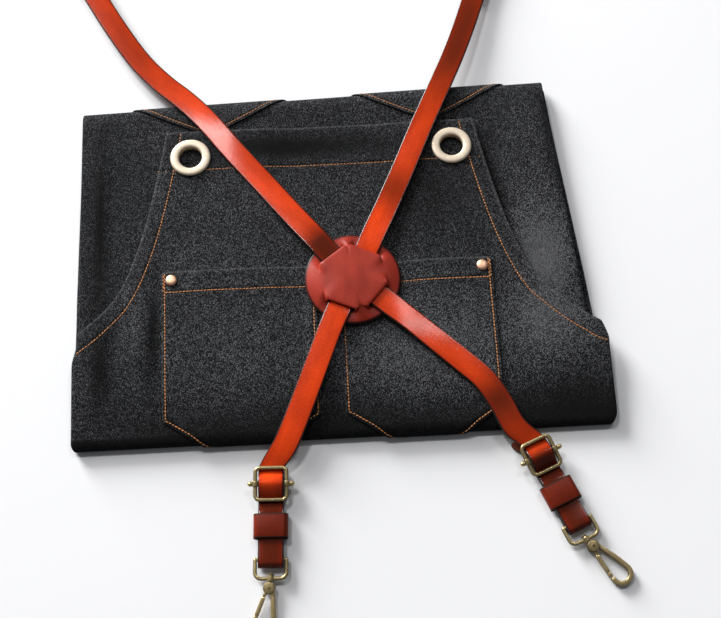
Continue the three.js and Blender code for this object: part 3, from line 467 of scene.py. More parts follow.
def flat_sweep(line: Array, section: Array, closed: bool) -> Array:
    """Carries a section along a line in its own plane.

    A point is the line's place, plus the section's first value along the line's normal, with the
    section's second value as height.

    Args:
        line: Places in the plane, one per row.
        section: The closed section.
        closed: Whether the line closes on itself.

    Returns:
        The surface, rows by columns by 3.
    """
    ahead, behind = np.roll(line, -1, axis=0), np.roll(line, 1, axis=0)
    if closed:
        ahead[-1], behind[0] = line[1], line[-2]
    else:
        ahead[-1], behind[0] = line[-1], line[0]
    along = unit(ahead - behind)
    normal = np.stack([along[:, 1], -along[:, 0]], axis=-1)
    flat = line[:, None, :] + normal[:, None, :] * section[None, :, :1]
    height = np.broadcast_to(section[None, :, 1:], flat.shape[:2] + (1,))
    return np.concatenate([flat, height], axis=-1)


def turned_surface(profile: Array, sides: int, axis: int) -> Array:
    """Turns a profile of radius and height about an axis: (r cos a, r sin a, h).

    Args:
        profile: Radius and height, one pair per row.
        sides: Steps round the axis.
        axis: The axis it is turned about: 0, 1 or 2.

    Returns:
        The surface, rows by columns by 3.
    """
    angle = np.linspace(0.0, 2.0 * math.pi, sides + 1)
    radius = profile[:, :1]
    first, second = radius * np.cos(angle), radius * np.sin(angle)
    height = np.broadcast_to(profile[:, 1:], first.shape)
    return np.stack(np.roll([first, second, height], axis + 1, axis=0), axis=-1)


class Value:
    """A number that varies over a surface. Python's operators on it add Math nodes."""

    def __init__(self, paint: "Paint", socket: bpy.types.NodeSocket) -> None:
        """Wraps a socket of a material's nodes."""
        self.paint = paint
        self.socket = socket

    def _math(self, operation: str, first: Any, second: Any) -> "Value":
        """Adds a Math node."""
        return self.paint.value("ShaderNodeMath", {"operation": operation}, {0: first, 1: second})

    def __add__(self, other: Any) -> "Value":
        """Adds."""
        return self._math("ADD", self, other)

    __radd__ = __add__

    def __sub__(self, other: Any) -> "Value":
        """Subtracts."""
        return self._math("SUBTRACT", self, other)

    def __rsub__(self, other: Any) -> "Value":
        """Subtracts from a number."""
        return self._math("SUBTRACT", other, self)

    def __mul__(self, other: Any) -> "Value":
        """Multiplies."""
        return self._math("MULTIPLY", self, other)

    __rmul__ = __mul__

    def __abs__(self) -> "Value":
        """Drops the sign."""
        return self._math("ABSOLUTE", self, 0.0)

    def sine(self) -> "Value":
        """Takes the sine."""
        return self._math("SINE", self, 0.0)

    def step(self, low: float, high: float) -> "Value":
        """Goes smoothly from 0 at low to 1 at high."""
        settings = {"interpolation_type": "SMOOTHSTEP"}
        return self.paint.value("ShaderNodeMapRange", settings, {0: self, 1: low, 2: high})


class Paint:
    """A material while its nodes are put together."""

    def __init__(self, name: str) -> None:
        """Starts a material with one Principled shader."""
        self.material = bpy.data.materials.new(name)
        self.material.use_nodes = True
        self.tree = self.material.node_tree
        self.shader = next(n for n in self.tree.nodes if n.type == "BSDF_PRINCIPLED")

    def node(self, kind: str, settings: dict[str, Any], inputs: dict[Any, Any]) -> bpy.types.Node:
        """Adds a node.

        Args:
            kind: The node's type.
            settings: Its own settings, which are set first.
            inputs: Values or links of its sockets.

        Returns:
            The node.
        """
        made = self.tree.nodes.new(kind)
        for name, setting in settings.items():
            setattr(made, name, setting)
        for key, value in inputs.items():
            self.feed(made.inputs[key], value)
        return made

    def feed(self, socket: bpy.types.NodeSocket, value: Any) -> None:
        """Links a varying value to a socket, or sets a plain one on it."""
        if isinstance(value, Value):
            self.tree.links.new(value.socket, socket)
        else:
            socket.default_value = value

    def value(self, kind: str, settings: dict[str, Any], inputs: dict[Any, Any], output: Any = 0) -> Value:
        """Adds a node and gives one of its outputs."""
        return Value(self, self.node(kind, settings, inputs).outputs[output])

    def mark(self, name: str) -> Value:
        """Reads a number that the mesh carries."""
        return self.value("ShaderNodeAttribute", {"attribute_name": name}, {}, "Fac")

    def lay(self, scale: Sequence[float] = (1.0, 1.0, 1.0), turn: float = 0.0) -> Value:
        """Reads the millimetre map along the material, scaled and turned about its normal."""
        place = self.value("ShaderNodeUVMap", {"uv_map": UV_LAYER}, {})
        whole = [s / MM for s in scale]
        return self.value("ShaderNodeMapping", {}, {0: place, "Rotation": (0.0, 0.0, turn), "Scale": whole})

    def place(self, scale: float = 1.0) -> Value:
        """Reads the place in the shared frame, in millimetres times a scale."""
        spot = self.value("ShaderNodeTexCoord", {}, {}, "Object")
        return self.value("ShaderNodeMapping", {}, {0: spot, "Scale": (scale / MM,) * 3})

    def noise(self, at: Value, scale: float, detail: float = 2.0, rough: float = 0.5) -> Value:
        """Adds soft noise whose grains are about one over scale wide."""
        inputs = {"Vector": at, "Scale": scale, "Detail": detail, "Roughness": rough}
        return self.value("ShaderNodeTexNoise", {}, inputs)

    def chance(self, at: Value, scale: float) -> Value:
        """Adds cells about one over scale wide, each with its own number from 0 to 1."""
        colour = self.value("ShaderNodeTexVoronoi", {}, {"Vector": at, "Scale": scale}, "Color")
        return self.value("ShaderNodeSeparateXYZ", {}, {0: colour})

    def cells(self, at: Value, scale: float) -> Value:
        """Adds cells: the distance to the nearest of scattered points."""
        return self.value("ShaderNodeTexVoronoi", {}, {"Vector": at, "Scale": scale})

    def blend(self, share: Value, first: Any, second: Any) -> Value:
        """Mixes two colours."""
        settings = {"data_type": "RGBA"}
        return self.value("ShaderNodeMix", settings, {0: share, 6: first, 7: second}, 2)

    def relief(self, height: Value, strength: float, depth: float) -> Value:
        """Makes a bump of a height that is 0 to 1 over a depth in millimetres."""
        inputs = {"Height": height, "Strength": strength, "Distance": depth * MM}
        return self.value("ShaderNodeBump", {}, inputs, "Normal")

    def dress(self, **inputs: Any) -> bpy.types.Material:
        """Sets the shader's sockets, with underscores for the spaces in their names."""
        for name, value in inputs.items():
            self.feed(self.shader.inputs[name.replace("_", " ")], value)
        return self.material


Colour = tuple[float, float, float, float]


def rgb(red: float, green: float, blue: float) -> Colour:
    """Names a linear colour."""
    return (red, green, blue, 1.0)


@dataclass(frozen=True)
class DenimFinish:
    """Charcoal twill with pale flecks, rubbed pale along its edges, puckered along its seams, and with
    painted light and shade from its tone mark.
    """

    dark: Colour = rgb(0.0030, 0.0031, 0.0033)
    pale: Colour = rgb(0.117, 0.119, 0.127)
    # Pale colour for the rubbed edges, and for the painted sheen where the tone is high.
    wear_and_sheen: Colour = rgb(0.10, 0.10, 0.103)
    twill_turn: float = 0.96
    twill_rate: float = 5.2

    def make(self) -> bpy.types.Material:
        """Puts the twill, flecks, slubs, painted light and shade, painted sheen, rubbed edges and seam
        grooves together.
        """
        paint = Paint("denim")
        grain = paint.noise(paint.lay(), 1.05, 0.0).step(0.46, 0.66)
        clump = paint.noise(paint.lay(), 0.22, 2.0, 0.6).step(0.3, 0.7)
        cloud = paint.noise(paint.lay((1.0, 0.6, 1.0)), 0.035, 3.0, 0.6).step(0.3, 0.7)
        thread = paint.chance(paint.lay((1.05, 0.7, 1.0)), 1.95)
        fleck = thread.step(0.9, 1.0)
        slub = paint.noise(paint.lay((1.1, 0.3, 1.0)), 0.75, 2.0).step(0.35, 0.75)
        drift = paint.noise(paint.lay(), 0.25, 2.0)
        across = paint.value("ShaderNodeSeparateXYZ", {}, {0: paint.lay(turn=self.twill_turn)})
        twill = (across * self.twill_rate + drift * 5.0).sine() * 0.5 + 0.5
        yarn = thread.step(0.5, 1.0) * (0.72 + 0.06 * clump) + grain * 0.03 + fleck * 0.4
        weave = (yarn + slub * 0.04 + twill * 0.03) * (0.84 + 0.32 * cloud)
        # The tone mark paints light and shade: it scales the pale threads.
        tone = paint.mark("tone")
        colour = paint.blend(weave * tone, self.dark, self.pale)
        # Painted sheen: where the painted light is strong the cloth is paled further.
        colour = paint.blend(tone.step(1.6, 7.0) * 0.3, colour, self.wear_and_sheen)
        edge = 1.0 - paint.mark("edge").step(0.0, 1.8)
        rub = edge * paint.noise(paint.lay(), 0.55, 3.0).step(0.3, 0.62)
        colour = paint.blend(rub * 0.4, colour, self.wear_and_sheen)
        seam = abs(paint.mark("seam"))
        groove = 1.0 - seam.step(0.2, 2.2)
        near = 1.0 - seam.step(2.0, 9.0)
        pucker = paint.noise(paint.lay((0.9, 0.9, 1.0)), 0.34, 2.0) * near
        height = grain * 0.25 + twill * 0.15 + slub * 0.12 + pucker * 1.3 - groove * 0.9
        return paint.dress(
            Base_Color=colour,
            Roughness=0.93,
            Specular_IOR_Level=0.07,
            Sheen_Weight=0.02,
            Sheen_Roughness=0.55,
            Normal=paint.relief(height, 0.75, 0.55),
        )


@dataclass(frozen=True)
class ThreadFinish:
    """Orange-tan sewing thread with a fine twist."""

    deep: Colour = rgb(0.28, 0.095, 0.022)
    light: Colour = rgb(0.62, 0.25, 0.07)

    def make(self) -> bpy.types.Material:
        """Makes the twisted thread."""
        paint = Paint("orange_thread")
        tone = paint.noise(paint.place(), 0.6, 2.0).step(0.25, 0.75)
        ply = paint.noise(paint.place(), 3.0, 2.0)
        return paint.dress(
            Base_Color=paint.blend(tone * 0.7 + ply * 0.3, self.deep, self.light),
            Roughness=0.62,
            Normal=paint.relief(ply, 0.5, 0.15),
        )


@dataclass(frozen=True)
class LeatherFinish:
    """Burnished vegetable leather: a cloudy stain, painted shade where a strap turns away from the light,
    dark painted edges, a pale flesh side and fine pores.
    """

    name: str
    deep: Colour
    bright: Colour
    # The colour of the painted shade.
    burnt: Colour = rgb(0.055, 0.009, 0.003)
    edge: Colour = rgb(0.012, 0.006, 0.005)
    cut: Colour = rgb(0.020, 0.016, 0.015)
    flesh: Colour = rgb(0.10, 0.035, 0.018)
    gloss: float = 0.15
    shine: float = 0.3

    def make(self) -> bpy.types.Material:
        """Puts the stain, painted shade, pores, creases and edges together."""
        paint = Paint(self.name)
        cloud = paint.noise(paint.lay((0.7, 0.25, 1.0)), 0.10, 3.0, 0.55).step(0.25, 0.75)
        mottle = paint.noise(paint.lay(), 1.0, 3.0, 0.7).step(0.28, 0.72)
        pores = paint.cells(paint.lay(), 1.5).step(0.05, 0.5)
        crease = paint.noise(paint.lay((0.25, 1.0, 1.0)), 0.8, 3.0, 0.6).step(0.45, 0.7)
        colour = paint.blend(cloud * 0.42 + mottle * 0.46 + 0.18, self.deep, self.bright)
        # Painted shade: darkens the strap where it bends or slopes away from the light.
        burn = paint.mark("burn")
        colour = paint.blend(burn, colour, self.burnt)
        outward = abs(paint.mark("across"))
        colour = paint.blend(outward.step(0.35, 1.0) * 0.3, colour, self.deep)
        colour = paint.blend(outward.step(0.83, 0.95) * 0.9, colour, self.edge)
        back = paint.mark("back")
        colour = paint.blend(back * 0.8, colour, self.flesh)
        cut = paint.mark("cut")
        colour = paint.blend(cut, colour, self.cut)
        height = pores * 0.5 + mottle * 0.5 + crease * 0.25
        return paint.dress(
            Base_Color=colour,
            Roughness=self.gloss + mottle * 0.08 - burn * 0.09 + back * 0.35 + cut * 0.4,
            Specular_IOR_Level=self.shine,
            Normal=paint.relief(height, 0.2, 0.1),
        )


@dataclass(frozen=True)
class MetalFinish:
    """Plated metal, rubbed bright where it is handled and dark in its recesses."""

    name: str
    dark: Colour
    bright: Colour
    rough: float
    grain: float = 0.25
    metallic: float = 1.0

    def make(self) -> bpy.types.Material:
        """Puts the bright and dark plate and its fine marks together."""
        paint = Paint(self.name)
        stain = paint.noise(paint.place(), 0.45, 4.0, 0.6).step(0.25, 0.75)
        marks = paint.noise(paint.place(), 2.2, 3.0, 0.65)
        rubbed = paint.mark("polish") * (0.66 + 0.34 * stain)
        return paint.dress(
            Base_Color=paint.blend(rubbed, self.dark, self.bright),
            Metallic=self.metallic,
            Roughness=self.rough + 0.2 * (1.0 - rubbed) + 0.1 * marks,
            Normal=paint.relief(marks, self.grain, 0.12),
        )


@dataclass(frozen=True)
class FloorFinish:
    """A pale, matt table."""

    colour: Colour = rgb(0.86, 0.86, 0.87)
    shade: Colour = rgb(0.83, 0.83, 0.84)

    def make(self) -> bpy.types.Material:
        """Makes the table's even, faintly clouded paint."""
        paint = Paint("pale_table")
        cloud = paint.noise(paint.place(), 0.004, 2.0)
        return paint.dress(Base_Color=paint.blend(cloud, self.shade, self.colour), Roughness=0.7)


DENIM = DenimFinish()
THREAD = ThreadFinish()
HARNESS_LEATHER = LeatherFinish("harness_leather_stain", rgb(0.26, 0.016, 0.003), rgb(0.84, 0.064, 0.006))
PATCH_LEATHER = LeatherFinish(
    "patch_leather_stain", rgb(0.16, 0.014, 0.008), rgb(0.41, 0.040, 0.022), gloss=0.36, shine=0.13
)
KEEPER_LEATHER = LeatherFinish(
    "keeper_leather_stain", rgb(0.06, 0.006, 0.002), rgb(0.19, 0.019, 0.006), gloss=0.3, shine=0.13
)
ANTIQUE_BRASS = MetalFinish(
    "antique_brass_plate", rgb(0.018, 0.012, 0.005), rgb(0.66, 0.51, 0.25), 0.19, metallic=0.75
)
PALE_BRASS = MetalFinish("pale_brass_plate", rgb(0.55, 0.40, 0.25), rgb(0.70, 0.60, 0.47), 0.42, 0.1, 0.45)
COPPER = MetalFinish("copper_plate", rgb(0.36, 0.15, 0.08), rgb(0.90, 0.55, 0.36), 0.36, 0.5, 0.8)


class Wardrobe:
    """Makes each finish once, and hands pieces over to the frame."""

    def __init__(self) -> None:
        """Starts with no finish made."""
        self.made: dict[Any, bpy.types.Material] = {}

    def hang(
        self,
        draft: Draft,
        name: str,
        finish: Any,
        slot: str,
        body: str = "apron",
        stands_for: Sequence[str] = (),
    ) -> Piece:
        """Makes a piece, dresses it and lets it ride on its body.

        Args:
            draft: Its surfaces.
            name: Its name.
            finish: Its finish.
            slot: The record's material slot that its finish belongs to; it is not used.
            body: The body that it rides on.
            stands_for: CAD nodes that it replaces.

        Returns:
            The piece.
        """
        piece = draft.build(name)
        if finish not in self.made:
            self.made[finish] = finish.make()
        piece.data.materials.append(self.made[finish])
        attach(piece, body)
        if stands_for:
            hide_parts(*stands_for)
        LOG.info("%s: %d faces on %s", name, len(piece.data.polygons), body)
        return piece


class Ply(IntEnum):
    """The plies of the folded cloth, from the bib's top edge to the skirt's hem."""

    BIB = 0
    WAIST = 1
    UNDER = 2
    FAR = 3
    SKIRT = 4


@dataclass(frozen=True)
class Rows:
    """Rows of the folded cloth: where its middle runs, and which way its face looks."""

    ply: Array
    y: Array
    z: Array
    look_y: Array
    look_z: Array

    def pick(self, keep: Array) -> "Rows":
        """Takes some of the rows."""
        return Rows(self.ply[keep], self.y[keep], self.z[keep], self.look_y[keep], self.look_z[keep])

    def lengths(self) -> Array:
        """Measures the cloth's length down its centre line."""
        return lengths_along(np.stack([self.y, self.z], axis=-1))

    def lay(self, x: Array) -> Array:
        """Maps places across to the flat cloth: x, and the length run down the cloth as -y."""
        return np.stack(np.broadcast_arrays(x, -self.lengths()[:, None]), axis=-1)


@dataclass(frozen=True)
class Spot:
    """A soft spot on a ply: exp(-(dx/across)^2 - (dy/along)^2) times its amount."""

    ply: Ply
    x: float
    y: float
    across: float
    along: float
    amount: float

    def at(self, x: Array, y: Array) -> Array:
        """Gives the spot's amount at places of its ply."""
        shape = -(((x - self.x) / self.across) ** 2) - ((y - self.y) / self.along) ** 2
        return self.amount * np.exp(shape)


def spots(ply: Ply, *rows: tuple[float, float, float, float, float]) -> tuple[Spot, ...]:
    """Makes spots on one ply from rows of x, y, reach across, reach along and amount."""
    return tuple(Spot(ply, *row) for row in rows)


@dataclass(frozen=True)
class FoldedCloth:
    """The denim's fold: how each flat place of the cloth lies on the table."""

    cloth: float = 1.2
    ply: float = 2.2
    flat_half: float = 350.0
    bib_top: float = 265.0
    far_fold: float = 295.0
    far_start: float = 285.0
    front_start: float = 8.0
    hem_at: float = 48.0
    far_skew: float = 0.0285
    left_side: tuple[float, float, float] = (200.0, 197.0, 196.0)
    right_side: tuple[float, float, float] = (216.0, 188.5, 205.0)
    waist_corner_left: Span = (2.5, 5.0)
    waist_corner_right: Span = (5.5, 12.0)
    hem_corner: Span = (66.0, 86.0)
    hem_corner_cut: float = 4.5
    patch_offset: float = 1.6
    rest_from: float = 98.0
    rest_to: float = 126.0
    bib_sink: tuple[float, float, float] = (2.0, 40.0, 90.0)
    skirt_sink: tuple[float, float, float] = (1.6, 15.0, 55.0)
    dip_left: Span = (-50.0, -20.0)
    dip_right: Span = (45.0, 80.0)
    ripple: float = 0.09
    ripple_from: Span = (4.0, 30.0)
    # Painted shade: the tone is low along the waist fold, where the cloth turns away from the light, and
    # rises up the bib.
    painted_fold_shade: float = 0.07
    bib_tone_rise: float = 0.83
    bib_tone_span: Span = (6.0, 62.0)
    skirt_tone: float = 0.74
    tone_limits: Span = (0.04, 8.0)
    bib_height: SmoothTable = SmoothTable((
        (0, 7.2), (8, 7.7), (22, 8.7), (45, 10.7), (70, 12.4),
        (120, 13.2), (180, 13.2), (214, 12.7), (265, 12.7),
    ))
    armhole: SmoothTable = SmoothTable((
        (0, 126), (28, 131), (80, 142), (108, 150), (135, 160.5), (150, 170),
        (165, 185), (178, 202), (192, 229), (212, 290), (235, 350),
    ))
    folds: tuple[Spot, ...] = spots(
        Ply.BIB,
        (-147, 84, 8, 36, 2.0),
        (-186, 52, 9, 28, 1.2),
        (176, 62, 20, 30, 1.1),
        (-62, 205, 24, 40, 0.7),
        (62, 190, 24, 40, 0.6),
        (-168, 74, 8, 34, -1.2),
        (-131, 84, 5, 34, -1.1),
        (150, 80, 9, 40, -0.5),
        (-100, 190, 12, 40, -0.4),
    ) + spots(
        Ply.SKIRT,
        (-186, 190, 13, 80, 1.4),
        (172, 215, 16, 50, 1.2),
        (-170, 215, 7, 70, -0.7),
    )
    # Painted light and shade on the denim: a positive spot paints a pool of light or a sheen, a negative one
    # paints a shadow or a shaded crease.
    painted_light_spots: tuple[Spot, ...] = spots(
        Ply.BIB,
        (78, 66, 56, 34, 2.2),
        (-75, 80, 60, 45, 0.35),
        (-85, 36, 60, 18, 0.35),
        (-195, 12, 60, 30, 0.55),
        (-30, 248, 100, 15, -0.9),
        (171, 90, 24, 26, 3.4),
        (184, 66, 26, 26, 0.5),
        (-165, 70, 30, 60, -0.3),
        (-138, 92, 4.5, 34, -0.75),
        (-179, 64, 7, 26, -0.6),
        (-160, 105, 14, 26, 0.35),
        (88, 198, 50, 52, -0.55),
        (185, 45, 40, 30, -0.2),
    ) + spots(
        Ply.SKIRT,
        (186, 160, 26, 90, 0.5),
        (171, 136, 20, 36, 6.0),
        (134, 216, 9, 34, -0.55),
        (144, 176, 8, 28, -0.55),
        (189, 262, 7, 36, -0.7),
        (194, 200, 7, 40, -0.7),
        (200, 140, 7, 40, -0.9),
        (-190, 180, 40, 90, -0.25),
        (-181, 190, 4, 80, -0.45),
    )

    def under_height(self, y: Array) -> Array:
        """Gives the height of the under ply, which rises onto the hand pockets."""
        return self.cloth / 2.0 + self.patch_offset * ease(y, self.rest_from, self.rest_to)

    def rows(self, bib: Array, under: Array, skirt: Array, fold_steps: int) -> Rows:
        """Lays rows along the fold: half ellipses join the plies at the waist and at the far fold.

        Args:
            bib: Distances from the waist fold on the bib, downwards.
            under: Distances on the under ply, upwards.
            skirt: Distances on the skirt ply, downwards.
            fold_steps: Steps in each half ellipse.

        Returns:
            All the rows in order.
        """
        slope = self.bib_height(bib + 1.0) - self.bib_height(bib - 1.0)
        turn = math.pi * np.arange(1, fold_steps) / fold_steps
        sine, cosine = np.sin(turn), np.cos(turn)
        front_radius = (float(self.bib_height(self.front_start)) - self.cloth / 2.0) / 2.0
        far_low = float(self.under_height(self.far_start))
        far_radius = 1.5 * self.ply
        ones = np.ones_like
        parts = [
            (Ply.BIB, bib, self.bib_height(bib), -slope / 2.0, ones(bib)),
            (
                Ply.WAIST,
                self.front_start * (1 - sine),
                self.cloth / 2.0 + front_radius * (1 + cosine),
                -sine,
                cosine,
            ),
            (Ply.UNDER, under, self.under_height(under), 0 * under, -ones(under)),
            (
                Ply.FAR,
                self.far_start + (self.far_fold - self.far_start) * sine,
                far_low + far_radius * (1 - cosine),
                sine,
                -cosine,
            ),
            (Ply.SKIRT, skirt, self.under_height(skirt) + 3 * self.ply, 0 * skirt, ones(skirt)),
        ]
        codes = np.concatenate([np.full(len(part[1]), int(part[0])) for part in parts])
        y, z, look_y, look_z = (np.concatenate([part[k] for part in parts]) for k in range(1, 5))
        size = np.hypot(look_y, look_z)
        return Rows(codes, y, z, look_y / size, look_z / size)

    def sinking(self, ply: Array, x: Array, y: Array) -> Array:
        """Says how far the top plies sink: a wide dip in the middle, soft folds and small waves.

        Args:
            ply: The ply of each row.
            x: Places across.
            y: Places along.

        Returns:
            The depth at each place, negative where the cloth rises.
        """
        middle = ease(x, *self.dip_left) * (1 - ease(x, *self.dip_right))
        depth = np.zeros(np.broadcast(x, y).shape)
        wave = np.sin(x / 13.0 + 1.7 * np.sin(y / 41.0))
        wave = wave + np.sin(x / 23.0 - y / 37.0) + np.sin(y / 19.0 + x / 61.0)
        for code, (most, start, end), away in (
            (Ply.BIB, self.bib_sink, y),
            (Ply.SKIRT, self.skirt_sink, self.far_fold - y),
        ):
            own = ply == code
            depth = depth + own * most * middle * ease(away, start, end)
            depth = depth + own * self.ripple * (1.0 + wave / 3.0) * ease(away, *self.ripple_from)
            for fold in self.folds:
                if fold.ply == code:
                    depth = depth - own * fold.at(x, y)
        return depth

    def tone(self, rows: Rows, x: Array) -> Array:
        """Paints light and shade into the dye: painted shade along the waist fold, where the cloth turns away
        from the light, and painted highlights, sheen and shadows as spots.

        Args:
            rows: The rows.
            x: Places across, rows by columns.

        Returns:
            A factor for the pale threads at each place.
        """
        ply, y = rows.ply[:, None], rows.y[:, None]
        bib = self.painted_fold_shade + self.bib_tone_rise * ease(y, *self.bib_tone_span)
        tone = np.where(ply <= Ply.WAIST, bib, self.skirt_tone) + 0 * x
        for spot in self.painted_light_spots:
            tone = tone + (ply == spot.ply) * spot.at(x, y)
        return np.clip(tone, *self.tone_limits)

    def point(self, rows: Rows, x: Array, above: Array) -> Array:
        """Finds places on the folded cloth.

        A place is (x, y + skew x + o look_y, z + o look_z), where o is the height above the cloth's middle
        less its sinking there.

        Args:
            rows: The rows.
            x: Places across, rows by columns.
            above: Heights above the cloth's middle.

        Returns:
            The places, rows by columns by 3.
        """
        y, z = rows.y[:, None], rows.z[:, None]
        skew = np.where(rows.ply <= Ply.WAIST, 0.0, self.far_skew * rows.y / self.far_fold)[:, None]
        out = above - self.sinking(rows.ply[:, None], x, y)
        place_y = y + skew * x + out * rows.look_y[:, None]
        return np.stack([x + 0 * out, place_y, z + out * rows.look_z[:, None]], axis=-1)

    def half_width(self, rows: Rows) -> Array:
        """Gives half the flat cloth's width at each row."""
        return np.where(rows.ply == Ply.BIB, self.armhole(self.bib_top - rows.y), self.flat_half)

    def side_fold(self, rows: Rows, side: int) -> Array:
        """Gives the distance of a side fold from the centre line at each row.

        It goes straight from the waist fold to the far fold and on to the hem. At the waist fold its corner
        is a quarter ellipse, and on the bib it draws in where the armhole's hem meets it.

        Args:
            rows: The rows.
            side: -1 for the left side, 1 for the right.

        Returns:
            One distance per row.
        """
        waist, far, hem = self.left_side if side < 0 else self.right_side
        fold = np.full(len(rows.y), waist)
        under = waist + (far - waist) * rows.y / self.far_fold
        skirt = far + (hem - far) * (self.far_fold - rows.y) / (self.far_fold - self.hem_at)
        fold = np.where(rows.ply == Ply.UNDER, under, fold)
        fold = np.where(rows.ply == Ply.FAR, far, fold)
        fold = np.where(rows.ply == Ply.SKIRT, skirt, fold)
        across, along = self.waist_corner_left if side < 0 else self.waist_corner_right
        bend = np.clip(1.0 - rows.y / along, 0.0, 1.0)
        rounded = np.where(rows.ply <= Ply.UNDER, across * (1.0 - np.sqrt(1.0 - bend**2)), 0.0)
        drawn_in = np.where(rows.ply == Ply.BIB, self.hem_corner_cut * ease(rows.y, *self.hem_corner), 0.0)
        return fold - rounded - drawn_in

    def fold_in(self, rows: Rows, flat_x: Array) -> tuple[Array, Array]:
        """Folds the sides in: past the fold the cloth goes round a half circle and back under itself.

        Args:
            rows: The rows.
            flat_x: Places across the flat cloth, rows by columns.

        Returns:
            Places across the folded cloth, and heights above its middle.
        """
        radius = self.ply / 2.0
        side = np.where(flat_x < 0, -1.0, 1.0)
        left, right = (self.side_fold(rows, sign)[:, None] for sign in (-1, 1))
        fold = np.where(flat_x < 0, left, right)
        edge = np.minimum(self.half_width(rows)[:, None], fold - radius)
        past = np.abs(flat_x) - edge
        turn = np.clip(past / radius, 0.0, math.pi)
        wing = np.maximum(past - math.pi * radius, 0.0)
        reach = np.minimum(np.abs(flat_x), edge) + radius * np.sin(turn) - wing
        return side * reach, -radius * (1 - np.cos(turn))


CLOTH = FoldedCloth()


@dataclass(frozen=True)
class Seam:
    """A row of stitches, each a slim rounded bead that follows the cloth."""

    pitch: float = 2.75
    length: float = 2.4
    radius: float = 0.46
    sunk: float = 0.12
    flatness: float = 0.8
    bluntness: float = 0.7
    slant: float = 7.0
    slant_spread: float = 3.0
    size_spread: float = 0.08
    sight: float = 0.7
    rings: int = 6
    sides: int = 6
    seed: int = 5

    @staticmethod
    def look_up(at: Array, run: Array, values: Array) -> Array:
        """Reads vectors that are known along a run at other places of it."""
        return np.stack([np.interp(at, run, values[:, k]) for k in range(3)], axis=-1)

    def bead(self) -> Array:
        """Shapes one stitch, rings by sides by 3, with its length along x and the face's way out as z."""
        a = np.linspace(0.0, math.pi, self.rings)[:, None]
        b = np.linspace(0.0, 2.0 * math.pi, self.sides + 1)[None, :]
        thick = self.radius * np.sin(a) ** self.bluntness
        along = self.length / 2.0 * np.cos(a) + 0 * b
        return np.stack([along, thick * np.cos(b), self.flatness * thick * np.sin(b)], axis=-1)

    def sew(self, draft: Draft, path: Array, up: Array) -> None:
        """Sews along a path.

        A bead is (L/2 cos a, r sin^k a cos b, f r sin^k a sin b), turned into the path's directions, with
        the bluntness k and the flatness f.

        Args:
            draft: Where the stitches go.
            path: Places of the cloth's face, one per row.
            up: The way the face looks at each place.
        """
        run = lengths_along(path)
        count = max(int(run[-1] / self.pitch), 1)
        at = (np.arange(count) + 0.5) * run[-1] / count
        centre = self.look_up(at, run, path)
        ahead = self.look_up(at + self.sight, run, path)
        behind = self.look_up(at - self.sight, run, path)
        lift = unit(self.look_up(at, run, up))
        forward = unit(ahead - behind)
        sideways = unit(np.cross(lift, forward))
        chance = np.random.default_rng(self.seed + count)
        slant = np.radians(self.slant + self.slant_spread * chance.standard_normal(count))[:, None]
        size = (1.0 + self.size_spread * chance.standard_normal(count))[:, None, None, None]
        along = forward * np.cos(slant) + sideways * np.sin(slant)
        beside = sideways * np.cos(slant) - forward * np.sin(slant)
        axes = np.stack([along, beside, lift], axis=1)
        middle = centre - lift * self.sunk
        beads = middle[:, None, None, :] + np.einsum("ijk,nkl->nijl", self.bead(), axes) * size
        quads = cell_corners(self.rings, self.sides + 1).reshape(-1, 4)
        firsts = self.rings * (self.sides + 1) * np.arange(count)[:, None, None]
        draft.add(beads.reshape(-1, 3), (quads + firsts).reshape(-1, 4))


SEAM = Seam()


def face_path(rows: Rows, x: Array, above: Array) -> tuple[Array, Array]:
    """Follows a line over the cloth, one place per row.

    Args:
        rows: The rows that the line crosses.
        x: The place across at each row.
        above: The face's height above the cloth's middle at each row.

    Returns:
        The places, and the way that the face looks there.
    """
    low = CLOTH.point(rows, x[:, None], above[:, None])[:, 0]
    high = CLOTH.point(rows, x[:, None], above[:, None] + 1.0)[:, 0]
    return low, high - low


def bib_rows(y: Array) -> Rows:
    """Lays rows on the bib alone."""
    return CLOTH.rows(y, NO_ROWS, NO_ROWS, 1)


def denim_marks(edge: Array, seam: Array, tone: Array) -> dict[str, Array]:
    """Names what the denim's finish reads: distances to an edge and to a seam, and the tone, which carries
    painted light and shade.
    """
    return {"edge": np.clip(edge, 0, 40), "seam": np.clip(seam, -20, 20), "tone": tone}


